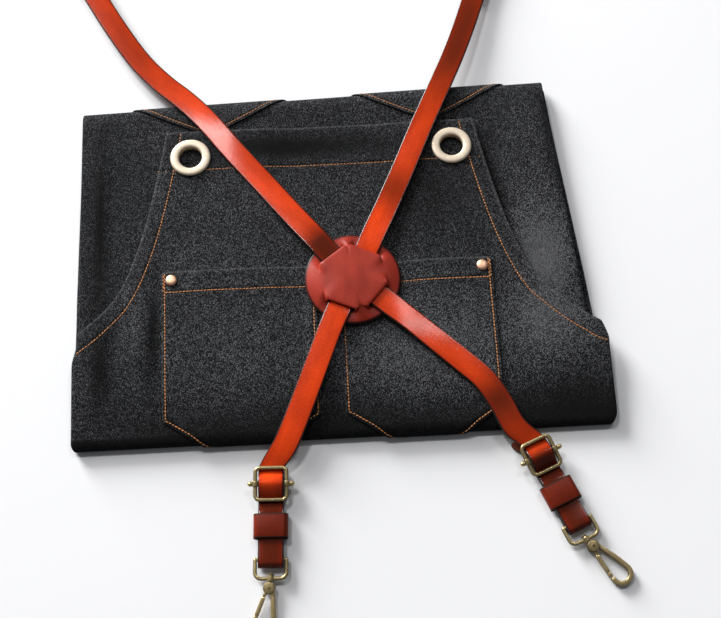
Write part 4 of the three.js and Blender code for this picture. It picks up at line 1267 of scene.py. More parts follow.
@dataclass
class DenimBody:
    """The denim: bib, waist fold, under ply, far fold and skirt ply with folded-in sides, in one sheet."""

    wardrobe: Wardrobe
    bib_step: float = 2.5
    under_rows: int = 25
    skirt_rows: int = 76
    fold_steps: int = 14
    middle: float = 118.0
    middle_columns: int = 95
    outer_columns: int = 26
    bend_columns: int = 7
    wing_columns: int = 10
    hem: float = 11.0
    top_hem: float = 35.0
    hem_extra: float = 0.6
    top_seam: Span = (-134.5, 131.0)
    side_seam_end: float = 57.0
    eyelet_hole: float = 12.2
    least_fold: float = 0.25
    no_hem: float = 1000.0
    flat: Span = field(init=False, default=(0.0, 0.0))
    area: float = field(init=False, default=0.0)

    def rows(self) -> Rows:
        """Lays all the rows of the sheet."""
        bib_rows_down = int((CLOTH.bib_top - CLOTH.front_start) / self.bib_step) + 1
        bib = np.linspace(CLOTH.bib_top, CLOTH.front_start, bib_rows_down)
        under = np.linspace(CLOTH.front_start, CLOTH.far_start, self.under_rows)
        skirt = np.linspace(CLOTH.far_start, CLOTH.hem_at, self.skirt_rows)
        return CLOTH.rows(bib, under, skirt, self.fold_steps)

    def flat_columns(self, rows: Rows, half: Array) -> Array:
        """Spreads places over the flat cloth: evenly in the middle, closer round the side folds.

        Args:
            rows: The rows.
            half: Half the flat cloth's width at each row.

        Returns:
            Places across, rows by columns.
        """
        radius = CLOTH.ply / 2.0
        outer = np.linspace(0.0, 1.0, self.outer_columns + 1)[1:]
        bend = np.linspace(0.0, 1.0, self.bend_columns + 1)[1:]
        wing = np.linspace(0.0, 1.0, self.wing_columns + 1)[1:]
        sides = {}
        for side in (-1, 1):
            edge = np.minimum(half, CLOTH.side_fold(rows, side) - radius)[:, None]
            past = half[:, None] - edge
            round_fold = np.clip(past, self.least_fold, math.pi * radius)
            rest = np.maximum(past - math.pi * radius, self.least_fold)
            parts = [
                self.middle + (edge - self.middle) * outer,
                edge + round_fold * bend,
                edge + round_fold + rest * wing,
            ]
            sides[side] = side * np.concatenate(parts, axis=1)
        centre = np.linspace(-self.middle, self.middle, self.middle_columns)
        centre = np.broadcast_to(centre, (len(rows.y), self.middle_columns))
        return np.concatenate([sides[-1][:, ::-1], centre, sides[1]], axis=1)

    def build(self) -> Piece:
        """Builds the folded sheet on a grid of flat places, with holes for the eyelets.

        Returns:
            The denim.
        """
        rows = self.rows()
        half = CLOTH.half_width(rows)
        flat_x = self.flat_columns(rows, half)
        x, above = CLOTH.fold_in(rows, flat_x)
        points = CLOTH.point(rows, x, above)
        keep = np.ones((len(rows.y) - 1, flat_x.shape[1] - 1), bool)
        cell = (points[:-1, :-1] + points[1:, 1:]) / 2.0
        on_bib = rows.ply == Ply.BIB
        for side in (-1, 1):
            away = np.hypot(cell[..., 0] - side * EYELET_X, cell[..., 1] - EYELET_ABOVE_WAIST)
            keep &= ~((away < self.eyelet_hole) & on_bib[:-1, None])
        length = rows.lengths()
        slope = np.gradient(half, np.maximum(length, 1e-6))
        to_side = (half[:, None] - np.abs(flat_x)) / np.sqrt(1.0 + slope[:, None] ** 2)
        to_top = np.where(on_bib, CLOTH.bib_top - rows.y, self.no_hem)[:, None] + 0 * flat_x
        side_hem = ease(to_side, self.hem - 2, self.hem + 1)
        top_hem = ease(to_top, self.top_hem - 2, self.top_hem + 1)
        wall = CLOTH.cloth + self.hem_extra * (1.0 - np.minimum(side_hem, top_hem))
        seam = nearer(to_side - self.hem, to_top - self.top_hem)
        marks = denim_marks(np.minimum(to_side, to_top), seam, CLOTH.tone(rows, x))
        draft = Draft()
        draft.add_sheet(points, wall, keep, rows.lay(flat_x), **marks)
        self.flat = (2.0 * CLOTH.flat_half * MM, float(length[-1]) * MM)
        self.area = strip_area(np.ptp(flat_x, axis=1), length)
        return self.wardrobe.hang(draft, "folded_denim", DENIM, "denim", stands_for=["apron_body"])

    def sew(self) -> Piece:
        """Sews the bib's top hem and both armholes."""
        draft = Draft()
        x = np.linspace(*self.top_seam, 220)
        y = np.full_like(x, CLOTH.bib_top - self.top_hem)
        face = np.full_like(x, CLOTH.cloth / 2.0 + 0.1)
        SEAM.sew(draft, *face_path(bib_rows(y), x, face))
        y = np.linspace(CLOTH.bib_top - 1.0, self.side_seam_end, 240)
        rows = bib_rows(y)
        half = CLOTH.half_width(rows)
        slope = np.gradient(half, -y)
        flat_x = half - self.hem * np.sqrt(1.0 + slope**2)
        for side in (-1, 1):
            fold = CLOTH.side_fold(rows, side) - CLOTH.ply / 2.0
            seen = flat_x < fold + 0.9
            over = rows.pick(seen)
            place, above = CLOTH.fold_in(over, side * flat_x[seen][:, None])
            SEAM.sew(draft, *face_path(over, place[:, 0], above[:, 0] + CLOTH.cloth / 2.0 + 0.25))
        return self.wardrobe.hang(draft, "bib_stitching", THREAD, "denim")


@dataclass
class ChestPocket:
    """A patch pocket on the bib, with cut-off lower corners, a hemmed mouth and sewn sides."""

    wardrobe: Wardrobe
    side: int
    inner: float = 10.0
    outer: float = 130.0
    mouth: float = 139.0
    chamfer: float = 31.0
    chamfer_from: float = 18.0
    swell: float = 1.2
    swell_length: float = 70.0
    hem: float = 17.0
    margin: float = 1.8
    hem_extra: float = 0.3
    edge_sink: float = 0.3
    edge_width: float = 7.0
    edge_wear: float = 1.2
    turned_in: Span = (6.0, 9.0)
    lay_from: float = 900.0
    columns: int = 53

    def rows(self, y: Array, steps: int) -> Rows:
        """Lays the pocket's rows: down the bib and round the first half of the waist fold."""
        rows = CLOTH.rows(y, NO_ROWS, NO_ROWS, 2 * steps)
        first = np.arange(len(rows.y)) < len(y) + steps
        return rows.pick(first & (rows.ply <= Ply.WAIST))

    def taper(self, rows: Rows) -> Array:
        """Says how far the lower corners are cut off at each row, from 0 to 1."""
        key = self.rows(np.array([self.mouth, self.chamfer_from, CLOTH.front_start]), 3)
        start = key.lengths()[1:]
        from_mouth = rows.lengths() + self.mouth - rows.y[0]
        return np.interp(from_mouth, start, np.sqrt(np.linspace(0.0, 1.0, len(start))))

    def span(self, rows: Rows) -> tuple[Array, Array]:
        """Gives the pocket's inner and outer edge at each row."""
        cut = self.chamfer * self.taper(rows)
        return self.inner + cut, self.outer - cut

    def lift(self, rows: Rows, share: Array) -> Array:
        """Says how far the pocket's mouth stands open: a hump across that fades down the pocket."""
        open_mouth = self.swell * ease(rows.y, self.mouth - self.swell_length, self.mouth)
        open_mouth = np.where(rows.ply == Ply.BIB, open_mouth, 0.0)
        hump = np.sin(math.pi * np.clip(share, 0, 1) ** 2) ** 2
        return open_mouth.reshape((-1,) + (1,) * (share.ndim - 1)) * hump

    def build(self) -> Piece:
        """Builds the pocket on a grid of shares across and rows down.

        Returns:
            The pocket.
        """
        rows = self.rows(np.linspace(self.mouth, CLOTH.front_start, 62), 8)
        share = np.broadcast_to(np.linspace(0.0, 1.0, self.columns), (len(rows.y), self.columns))
        low, high = self.span(rows)
        across = low[:, None] + (high - low)[:, None] * share
        length = rows.lengths()
        to_side = np.minimum(across - low[:, None], high[:, None] - across)
        cut = np.gradient(low, length)
        to_side = to_side / np.sqrt(1.0 + cut[:, None] ** 2)
        above = CLOTH.patch_offset - self.edge_sink * (1.0 - ease(to_side, 0.0, self.edge_width))
        points = CLOTH.point(rows, self.side * across, above + self.lift(rows, share))
        to_top = length[:, None] + 0 * across
        seam = nearer(to_side - self.margin, to_top - self.hem)
        mouth_hem = ease(to_top, self.hem - 2, self.hem + 1)
        doubled = 1.0 - np.minimum(ease(to_side, *self.turned_in), mouth_hem)
        edge = np.minimum(to_side + self.edge_wear, to_top)
        marks = denim_marks(edge, seam, CLOTH.tone(rows, self.side * across))
        wall = CLOTH.cloth + self.hem_extra * doubled
        draft = Draft()
        draft.add_sheet(points, wall, None, rows.lay(self.side * across + self.lay_from), **marks)
        name = side_name(self.side)
        piece = self.wardrobe.hang(
            draft, f"chest_pocket_denim_{name}", DENIM, "denim", stands_for=[f"chest_pocket_{name}"]
        )
        area = strip_area(high - low, length)
        return piece

    def sew(self) -> Piece:
        """Sews the mouth's hem, both sides with their cut corners, and the doubled ends at the mouth."""
        draft = Draft()
        face = CLOTH.patch_offset + CLOTH.cloth / 2.0 + 0.2
        flat = np.linspace(self.inner + self.margin, self.outer - self.margin, 120)
        rows = bib_rows(np.full_like(flat, self.mouth - self.hem))
        share = (flat - self.inner) / (self.outer - self.inner)
        SEAM.sew(draft, *face_path(rows, self.side * flat, face + self.lift(rows, share)))
        rows = self.rows(np.linspace(self.mouth - 1.0, CLOTH.front_start, 150), 24)
        low, high = self.span(rows)
        slant = np.sqrt(1.0 + np.gradient(low, rows.lengths()) ** 2)
        for across in (low + self.margin * slant, high - self.margin * slant):
            share = (across - low) / (high - low)
            SEAM.sew(draft, *face_path(rows, self.side * across, face + self.lift(rows, share)))
        top = bib_rows(np.linspace(self.mouth - 2.0, self.mouth - self.hem, 20))
        for across in (self.inner + self.margin + 1.3, self.outer - self.margin + 1.1):
            line = np.full_like(top.y, self.side * across)
            SEAM.sew(draft, *face_path(top, line, np.full_like(line, face)))
        return self.wardrobe.hang(draft, f"chest_pocket_stitching_{side_name(self.side)}", THREAD, "denim")


@dataclass
class HandPocket:
    """A skirt pocket whose pointed foot shows past the far fold; the rest lies underneath."""

    wardrobe: Wardrobe
    side: int
    middle: float = 92.0
    half_width: float = 78.0
    mouth: float = 130.0
    tip: float = 267.0
    tip_slope: float = 2.0
    tip_half: float = 5.0
    margin: float = 2.4
    edge_wear: float = 1.2
    lay_from: float = 900.0
    under_rows: int = 32
    skirt_rows: int = 16
    fold_steps: int = 14
    columns: int = 49

    def rows(self) -> Rows:
        """Lays the pocket's rows: along the under ply, round the far fold and down the skirt ply."""
        under = np.linspace(self.mouth, CLOTH.far_start, self.under_rows)
        skirt = np.linspace(CLOTH.far_start, self.tip, self.skirt_rows)
        rows = CLOTH.rows(NO_ROWS, under, skirt, self.fold_steps)
        return rows.pick(rows.ply != Ply.WAIST)

    def half(self, rows: Rows) -> Array:
        """Gives half the pocket's width: full, then narrowing to the tip."""
        to_tip = rows.lengths()[-1] - rows.lengths()
        return np.minimum(self.half_width, self.tip_half + self.tip_slope * to_tip)

    def build(self) -> Piece:
        """Builds the pocket on a grid of shares across and rows along.

        Returns:
            The pocket.
        """
        rows = self.rows()
        share = np.linspace(-1.0, 1.0, self.columns)[None, :]
        half = self.half(rows)
        across = self.side * self.middle + half[:, None] * share
        points = CLOTH.point(rows, across, np.full_like(across, CLOTH.patch_offset))
        length = rows.lengths()
        slope = np.sqrt(1.0 + np.gradient(half, length) ** 2)[:, None]
        to_side = half[:, None] * (1.0 - np.abs(share)) / slope
        edge = np.minimum(to_side, (length[-1] - length)[:, None])
        marks = denim_marks(edge + self.edge_wear, edge - self.margin, CLOTH.tone(rows, across))
        draft = Draft()
        draft.add_sheet(points, CLOTH.cloth, None, rows.lay(across + self.lay_from), **marks)
        name = side_name(self.side)
        piece = self.wardrobe.hang(
            draft, f"hand_pocket_denim_{name}", DENIM, "denim", stands_for=[f"hand_pocket_{name}"]
        )
        area = strip_area(2.0 * half, length)
        return piece

    def sew(self) -> Piece:
        """Sews both edges of the foot, on the skirt ply and over the far fold."""
        draft = Draft()
        rows = self.rows()
        half = self.half(rows)
        slope = np.sqrt(1.0 + np.gradient(half, rows.lengths()) ** 2)
        face = np.full(len(rows.y), CLOTH.patch_offset + CLOTH.cloth / 2.0 + 0.1)
        seen = rows.ply != Ply.UNDER
        for end in (-1, 1):
            across = self.side * self.middle + end * np.maximum(half - self.margin * slope, 0.5)
            SEAM.sew(draft, *face_path(rows.pick(seen), across[seen], face[seen]))
        return self.wardrobe.hang(draft, f"hand_pocket_stitching_{side_name(self.side)}", THREAD, "denim")


@dataclass
class Eyelet:
    """A large pale eyelet that clamps the bib between its crowned rim and a washer."""

    wardrobe: Wardrobe
    side: int
    x: float = EYELET_X
    y: float = EYELET_ABOVE_WAIST
    hole: float = 9.5
    rim: float = 16.5
    face: float = 1.0
    crown: float = 3.0
    barrel: float = 10.4
    washer: float = 15.0
    washer_wall: float = 0.9
    lip: float = 0.3

    def build(self) -> Piece:
        """Turns the eyelet's profile; its crown is a flattened half ellipse from hole to rim."""
        turn = np.linspace(math.pi, 0.0, 15)
        middle, reach = (self.hole + self.rim) / 2.0, (self.rim - self.hole) / 2.0
        rise = self.crown - self.face - self.lip
        across = middle + reach * np.sign(np.cos(turn)) * np.abs(np.cos(turn)) ** 0.8
        crown = np.stack([across, self.face + self.lip + rise * np.sin(turn) ** 0.75], axis=-1)
        low = -self.face - self.washer_wall
        rest = [
            (self.rim - 0.2, self.face), (self.barrel, self.face), (self.barrel, -self.face),
            (self.washer, -self.face), (self.washer + 0.1, -self.face - 0.4), (self.washer - 0.3, low),
            (self.hole + self.lip, low), (self.hole, low + self.lip), (self.hole, self.face),
        ]
        profile = np.vstack([crown, rest, crown[:1]])
        surface = turned_surface(profile, 72, 2)
        polish = ease(surface[..., 2], 0.9, 1.9)
        level = float(CLOTH.bib_height(self.y))
        draft = Draft()
        draft.add_grid(surface + [self.side * self.x, self.y, level], polish=0.35 + 0.65 * polish)
        name = side_name(self.side)
        return self.wardrobe.hang(
            draft, f"pale_eyelet_{name}", PALE_BRASS, "pale_brass", stands_for=[f"eyelet_{name}"]
        )


@dataclass
class Rivet:
    """A copper rivet through a chest pocket's outer corner."""

    wardrobe: Wardrobe
    side: int
    x: float = 123.0
    y: float = 132.0
    cap: float = 4.5
    rise: float = 1.9
    post: float = 1.5
    burr: float = 3.2
    burr_wall: float = 1.0
    half_stack: float = 1.0
    rolled: float = 0.35

    def build(self) -> Piece:
        """Turns the rivet's profile: a low dome with a rolled edge, its post and its burr."""
        top = CLOTH.patch_offset + self.half_stack
        back = -self.half_stack
        low = back - self.burr_wall
        turn = np.linspace(0.0, math.pi / 2.0, 9)
        height = top + self.rolled + (self.rise - self.rolled) * np.sin(turn)
        dome = np.stack([self.cap * np.cos(turn) ** 0.7, height], axis=-1)
        dome[-1, 0] = 0.0
        below = [
            (0.0, low), (self.burr, low), (self.burr, back), (self.post, back), (self.post, top),
            (self.cap - 0.25, top), (self.cap, top + 0.12),
        ]
        surface = turned_surface(np.vstack([below, dome]), 40, 2)
        polish = 0.4 + 0.6 * ease(surface[..., 2], top, top + 0.8)
        level = float(CLOTH.bib_height(self.y))
        draft = Draft()
        draft.add_grid(surface + [self.side * self.x, self.y, level], polish=polish)
        name = side_name(self.side)
        return self.wardrobe.hang(
            draft, f"copper_rivet_{name}", COPPER, "copper", stands_for=[f"pocket_rivet_{name}"]
        )


@dataclass(frozen=True)
class StrapEnd:
    """Where a strap ends: its place, the way it points in degrees, and how its fittings lie."""

    x: float
    y: float
    heading: float
    hook_heading: float = 0.0
    tail_side: float = 0.0
    tilt: float = 0.0


LOWER_ENDS = {
    "left": StrapEnd(-49.8, -33.7, -92.0, -101.0, 0.0, 6.0),
    "right": StrapEnd(154.3, -22.9, -67.0, -48.6, 11.5, 9.5),
}
UPPER_ENDS = {"left": StrapEnd(-201.0, 430.0, 118.0), "right": StrapEnd(152.0, 424.0, 68.7)}

# A route's rows are places of the strap's middle: x, y and height.
ROUTE_RIGHT_TO_LEFT = (
    (138.8, 388.5, 7.6), (127.4, 357.4, 9.0), (115.3, 327.5, 10.9), (100, 294, 13.4), (84, 260, 15.1),
    (66.9, 222, 15.3), (49.9, 185.9, 16.3), (39, 163.3, 18.3), (32.8, 150.2, 18.4), (27, 139.2, 16),
    (20.2, 125.5, 16), (13.5, 112, 16), (8, 100.5, 18.4), (1.8, 87.5, 18.3), (-8.5, 63, 16.4),
    (-23, 28, 13.9), (-33, 4.9, 12.3), (-38.8, -6.5, 10.6),
)
ROUTE_LEFT_TO_RIGHT = (
    (-189, 406, 7.2), (-170, 371, 7.2), (-149, 337, 8.4), (-130, 314, 10.6), (-112, 296, 12.8),
    (-95.5, 277, 14.2), (-73, 246.2, 15.2), (-48.4, 214.6, 15.4), (-24.3, 182.8, 16.5), (-6, 159, 18.4),
    (2, 148, 18.6), (20.4, 126, 18.7), (37, 111.6, 18.6), (46, 103.6, 18.4), (62.7, 88.5, 17),
    (84.5, 68.3, 16.3), (102.5, 51.7, 15.1), (116.5, 37.7, 14), (127.4, 19.5, 12.8), (136.8, -0.9, 11.6),
)


# A painted shade's or a roll's row is a soft spot along a strap: x, y, radius, and its amount of painted
# shade or its degrees of roll.
Touches = tuple[tuple[float, float, float, float], ...]
PAINTED_SHADE_RIGHT_TO_LEFT: Touches = (
    (132.0, 370.0, 66.0, 0.85), (57.0, 202.0, 20.0, 0.66), (84.0, 260.0, 40.0, 0.3),
    (108.0, 315.0, 36.0, 0.4), (-50.3, -52.0, 11.0, 0.97), (-51.0, -80.0, 24.0, 0.95),
    (-51.0, -98.0, 20.0, 0.9),
)
PAINTED_SHADE_LEFT_TO_RIGHT: Touches = (
    (-2.0, 154.0, 21.0, 0.9), (4.0, 147.0, 13.0, 0.5), (-160.0, 350.0, 60.0, 0.45),
    (126.0, 23.0, 20.0, 0.85), (136.0, 3.0, 14.0, 0.35), (152.0, -25.0, 11.0, 0.6),
    (161.0, -39.0, 14.0, 0.97), (172.0, -62.0, 26.0, 0.95), (179.0, -78.0, 22.0, 0.9),
)
ROLLS_RIGHT_TO_LEFT: Touches = (
    (84.0, 260.0, 90.0, -6.0), (122.0, 345.0, 50.0, -4.0), (-8.0, 63.0, 30.0, -2.0),
)
ROLLS_LEFT_TO_RIGHT: Touches = (
    (-82.0, 259.0, 30.0, -7.0), (61.0, 90.0, 16.0, 6.5), (77.0, 78.0, 18.0, 3.5),
)


@dataclass(frozen=True)
class Fitting:
    """Sizes that the straps, sliders, keepers, rings and hooks share."""

    strap_half: float = 9.5
    strap_wall: float = 2.2
    clear: float = 0.3
    slider_height: float = 7.0
    slider_half: float = 13.5
    slider_width: float = 13.2
    slider_wire: float = 3.0
    slider_corner: float = 5.0
    slider_bar: float = 2.6
    keeper_along: float = 31.5
    keeper_length: float = 18.4
    keeper_width: float = 26.0
    keeper_height: float = 9.2
    keeper_wall: float = 1.8
    keeper_lift: float = 0.2
    ring_along: float = 56.0
    ring_height: float = 4.5
    ring_wire: float = 2.8
    ring_length: float = 14.0
    ring_half: float = 13.0
    ring_corner: float = 6.0
    ring_bar_corner: float = 1.7
    hook_pitch: float = 3.4
    end_pitch: float = 2.9

    @property
    def loop_radius(self) -> float:
        """Gives the radius of a strap's loop round a ring's bar."""
        return (self.ring_wire + self.strap_wall) / 2.0 + self.clear

    @property
    def slider_reach(self) -> float:
        """Gives the distance from a slider's middle to its near bar."""
        return self.slider_half - self.slider_wire / 2.0

    def tipped(self, along: Array, height: Array, tilt: float) -> Array:
        """Tips places on a slider up towards the apron, about its near bar."""
        back, over = along - self.slider_reach, height - self.slider_height
        cosine, sine = math.cos(math.radians(tilt)), math.sin(math.radians(tilt))
        tipped_along = self.slider_reach + back * cosine + over * sine
        tipped_height = self.slider_height - back * sine + over * cosine
        return np.stack([tipped_along, tipped_height], axis=-1)


FIT = Fitting()


@dataclass
class Strap:
    """A leather strap, from its upper loop over the apron and through the patch to its lower loop."""

    wardrobe: Wardrobe
    name: str
    node: str
    upper: StrapEnd
    route: tuple[tuple[float, float, float], ...]
    lower: StrapEnd
    burns: Touches
    rolls: Touches
    corner: float = 0.75
    crown: float = 0.18
    most_burn: float = 0.95
    loop_past_bar: float = 2.5
    lower_tail: Span = (-8.0, -19.0)
    upper_start: float = -12.0
    upper_back: float = -8.0
    upper_tail: Span = (-24.0, -34.0)
    tip_steps: int = 12
    tip_round: float = 0.985
    steps: int = 5
    length: float = field(init=False, default=0.0)

    def loop(self, at: float) -> Array:
        """Bends the strap back round a bar, as a half circle of distance along and height."""
        turn = np.linspace(0.0, math.pi, 11)
        along = at + self.loop_past_bar + FIT.loop_radius * np.sin(turn)
        return np.stack([along, FIT.ring_height + FIT.loop_radius * np.cos(turn)], axis=-1)

    def tip(self, start: float, end: float, height: float, aside: float) -> Array:
        """Rounds the strap's tail off: rows of distance along, height, shift aside and half width."""
        share = np.sin(np.linspace(0.0, math.pi / 2.0, self.tip_steps))
        half = FIT.strap_half * np.sqrt(1.0 - (self.tip_round * share) ** 2)
        along = start + (end - start) * share
        return np.stack([along, np.full_like(share, height), aside * share, half], axis=-1)

    def end_rows(self, end: StrapEnd, runs: Sequence[Array], tail: Array) -> tuple[Array, Array, Array]:
        """Lays one end of the strap out on the table.

        Args:
            end: The end.
            runs: Rows of distance along and height.
            tail: Rows of the rounded tail.

        Returns:
            The places, the strap's sideways directions and its half widths.
        """
        run = np.concatenate(runs)
        plain = np.column_stack([run, np.zeros(len(run)), np.full(len(run), FIT.strap_half)])
        rows = np.vstack([plain, tail])
        lie = Placement.on_table(end.x, end.y, 0.0, end.heading)
        places = lie.place(np.stack([rows[:, 2], rows[:, 0], rows[:, 1]], axis=-1))
        return places, np.broadcast_to(lie.axes[0], places.shape), rows[:, 3]

    def lower_rows(self) -> tuple[Array, Array, Array]:
        """Lays the lower end: over the slider's bar, through the keeper, round the ring and back under."""
        flat = FIT.strap_wall / 2.0 + FIT.clear
        step = FIT.strap_wall + FIT.clear
        top = FIT.slider_height + FIT.slider_bar / 2.0 + FIT.strap_wall / 2.0 + 2.0 * FIT.clear
        share = np.linspace(-1.0, 1.0, 13)
        rise = flat + step + (top - flat - step) * (1.0 + np.cos(math.pi * share)) / 2.0
        hump = FIT.tipped(FIT.slider_reach * share, rise, self.lower.tilt)
        in_keeper = FIT.keeper_lift + FIT.keeper_wall + flat
        near = FIT.keeper_along - FIT.keeper_length / 2.0 - 1.0
        far = FIT.keeper_along + FIT.keeper_length / 2.0 + 1.0
        over, under = in_keeper + step, in_keeper
        runs = [
            hump,
            np.array([[near, over], [(near + far) / 2.0, over], [far, over]]),
            self.loop(FIT.ring_along),
            np.array([[far, under], [near, under], [FIT.slider_reach, flat], [0.0, flat]]),
        ]
        return self.end_rows(self.lower, runs, self.tip(*self.lower_tail, flat, self.lower.tail_side))

    def upper_rows(self) -> tuple[Array, Array, Array]:
        """Lays the upper end: folded round a plain hook's bar, with a short tail below."""
        flat = FIT.strap_wall / 2.0 + FIT.clear
        start = np.array([[self.upper_start, FIT.ring_height + FIT.loop_radius]])
        back = np.array([[self.upper_back, FIT.ring_height - FIT.loop_radius]])
        tail = self.tip(*self.upper_tail, flat, self.upper.tail_side)
        places, across, half = self.end_rows(self.upper, [start, self.loop(0.0), back], tail)
        return places[::-1], -across[::-1], half[::-1]

    def build(self) -> Piece:
        """Carries a rounded, slightly crowned section along the strap.

        A place is the path's, plus the section's first value along the strap's sideways direction and its
        second along across x forward.

        Returns:
            The strap.
        """
        upper, lower = self.upper_rows(), self.lower_rows()
        route = np.array(self.route, float)
        through = np.vstack([upper[0][-1:], route, lower[0][:1]])
        ahead = np.gradient(through, axis=0)[1:-1]
        forward = unit(ahead * [1.0, 1.0, 0.0])
        route_across = np.stack([forward[:, 1], -forward[:, 0], 0 * forward[:, 0]], axis=-1)
        keys = np.vstack([upper[0], route, lower[0]])
        across = unit(spread(np.vstack([upper[1], route_across, lower[1]]), self.steps))
        half = spread(np.concatenate([upper[2], np.full(len(route), FIT.strap_half), lower[2]]), self.steps)
        path = smooth_path(keys, self.steps)
        along = unit(np.gradient(path, axis=0))
        up = unit(np.cross(across, along))
        roll = np.radians(self.spots(path, self.rolls))[:, None]
        path = path + np.abs(np.sin(roll)) * [0.0, 0.0, FIT.strap_half]
        across, up = across * np.cos(roll) + up * np.sin(roll), up * np.cos(roll) - across * np.sin(roll)
        section = self.section()
        width = section[:, 0] / FIT.strap_half
        crown = self.crown * (1.0 - width**2) * (section[:, 1] > 0.0)
        height = section[:, 1] + crown
        sideways = section[None, :, 0] * (half / FIT.strap_half)[:, None]
        points = path[:, None, :] + across[:, None, :] * sideways[..., None]
        points = points + up[:, None, :] * height[None, :, None]
        run = lengths_along(path)
        lay = np.stack(np.broadcast_arrays(lengths_along(section)[None, :], run[:, None]), axis=-1)
        back = ease(-section[:, 1], 0.2, 0.9)
        cut = ease(np.abs(section[:, 0]), FIT.strap_half - 0.45, FIT.strap_half - 0.05)
        draft = Draft()
        # Painted shade along the strap, where it turns away from the light.
        burn = np.clip(self.spots(path, self.burns), 0.0, self.most_burn)
        marks = {"across": width[None, :], "back": back[None, :], "cut": cut[None, :]}
        draft.add_grid(points, lay, burn=burn[:, None], **marks)
        for end in (0, -1):
            draft.add_cap(points[end], lay[end], cut=1.0)
        self.length = float(run[-1])
        return self.wardrobe.hang(
            draft, self.name, HARNESS_LEATHER, "harness_leather", stands_for=[self.node]
        )

    @staticmethod
    def spots(path: Array, spots: Touches) -> Array:
        """Adds soft spots up along the strap: amount exp(-(distance / radius)^2) about each x and y."""
        total = np.zeros(len(path))
        for x, y, radius, amount in spots:
            away = (path[:, 0] - x) ** 2 + (path[:, 1] - y) ** 2
            total = total + amount * np.exp(-away / radius**2)
        return total

    def section(self) -> Array:
        """Draws the strap's section with extra points across its faces."""
        outline = rounded_section(FIT.strap_half, FIT.strap_wall / 2.0, self.corner, 3)
        inner = np.linspace(0.85, -0.85, 9) * FIT.strap_half
        top = np.stack([inner, np.full(9, FIT.strap_wall / 2.0)], axis=-1)
        low = np.stack([inner[::-1], np.full(9, -FIT.strap_wall / 2.0)], axis=-1)
        return np.vstack([outline[:4], top, outline[4:12], low, outline[12:]])


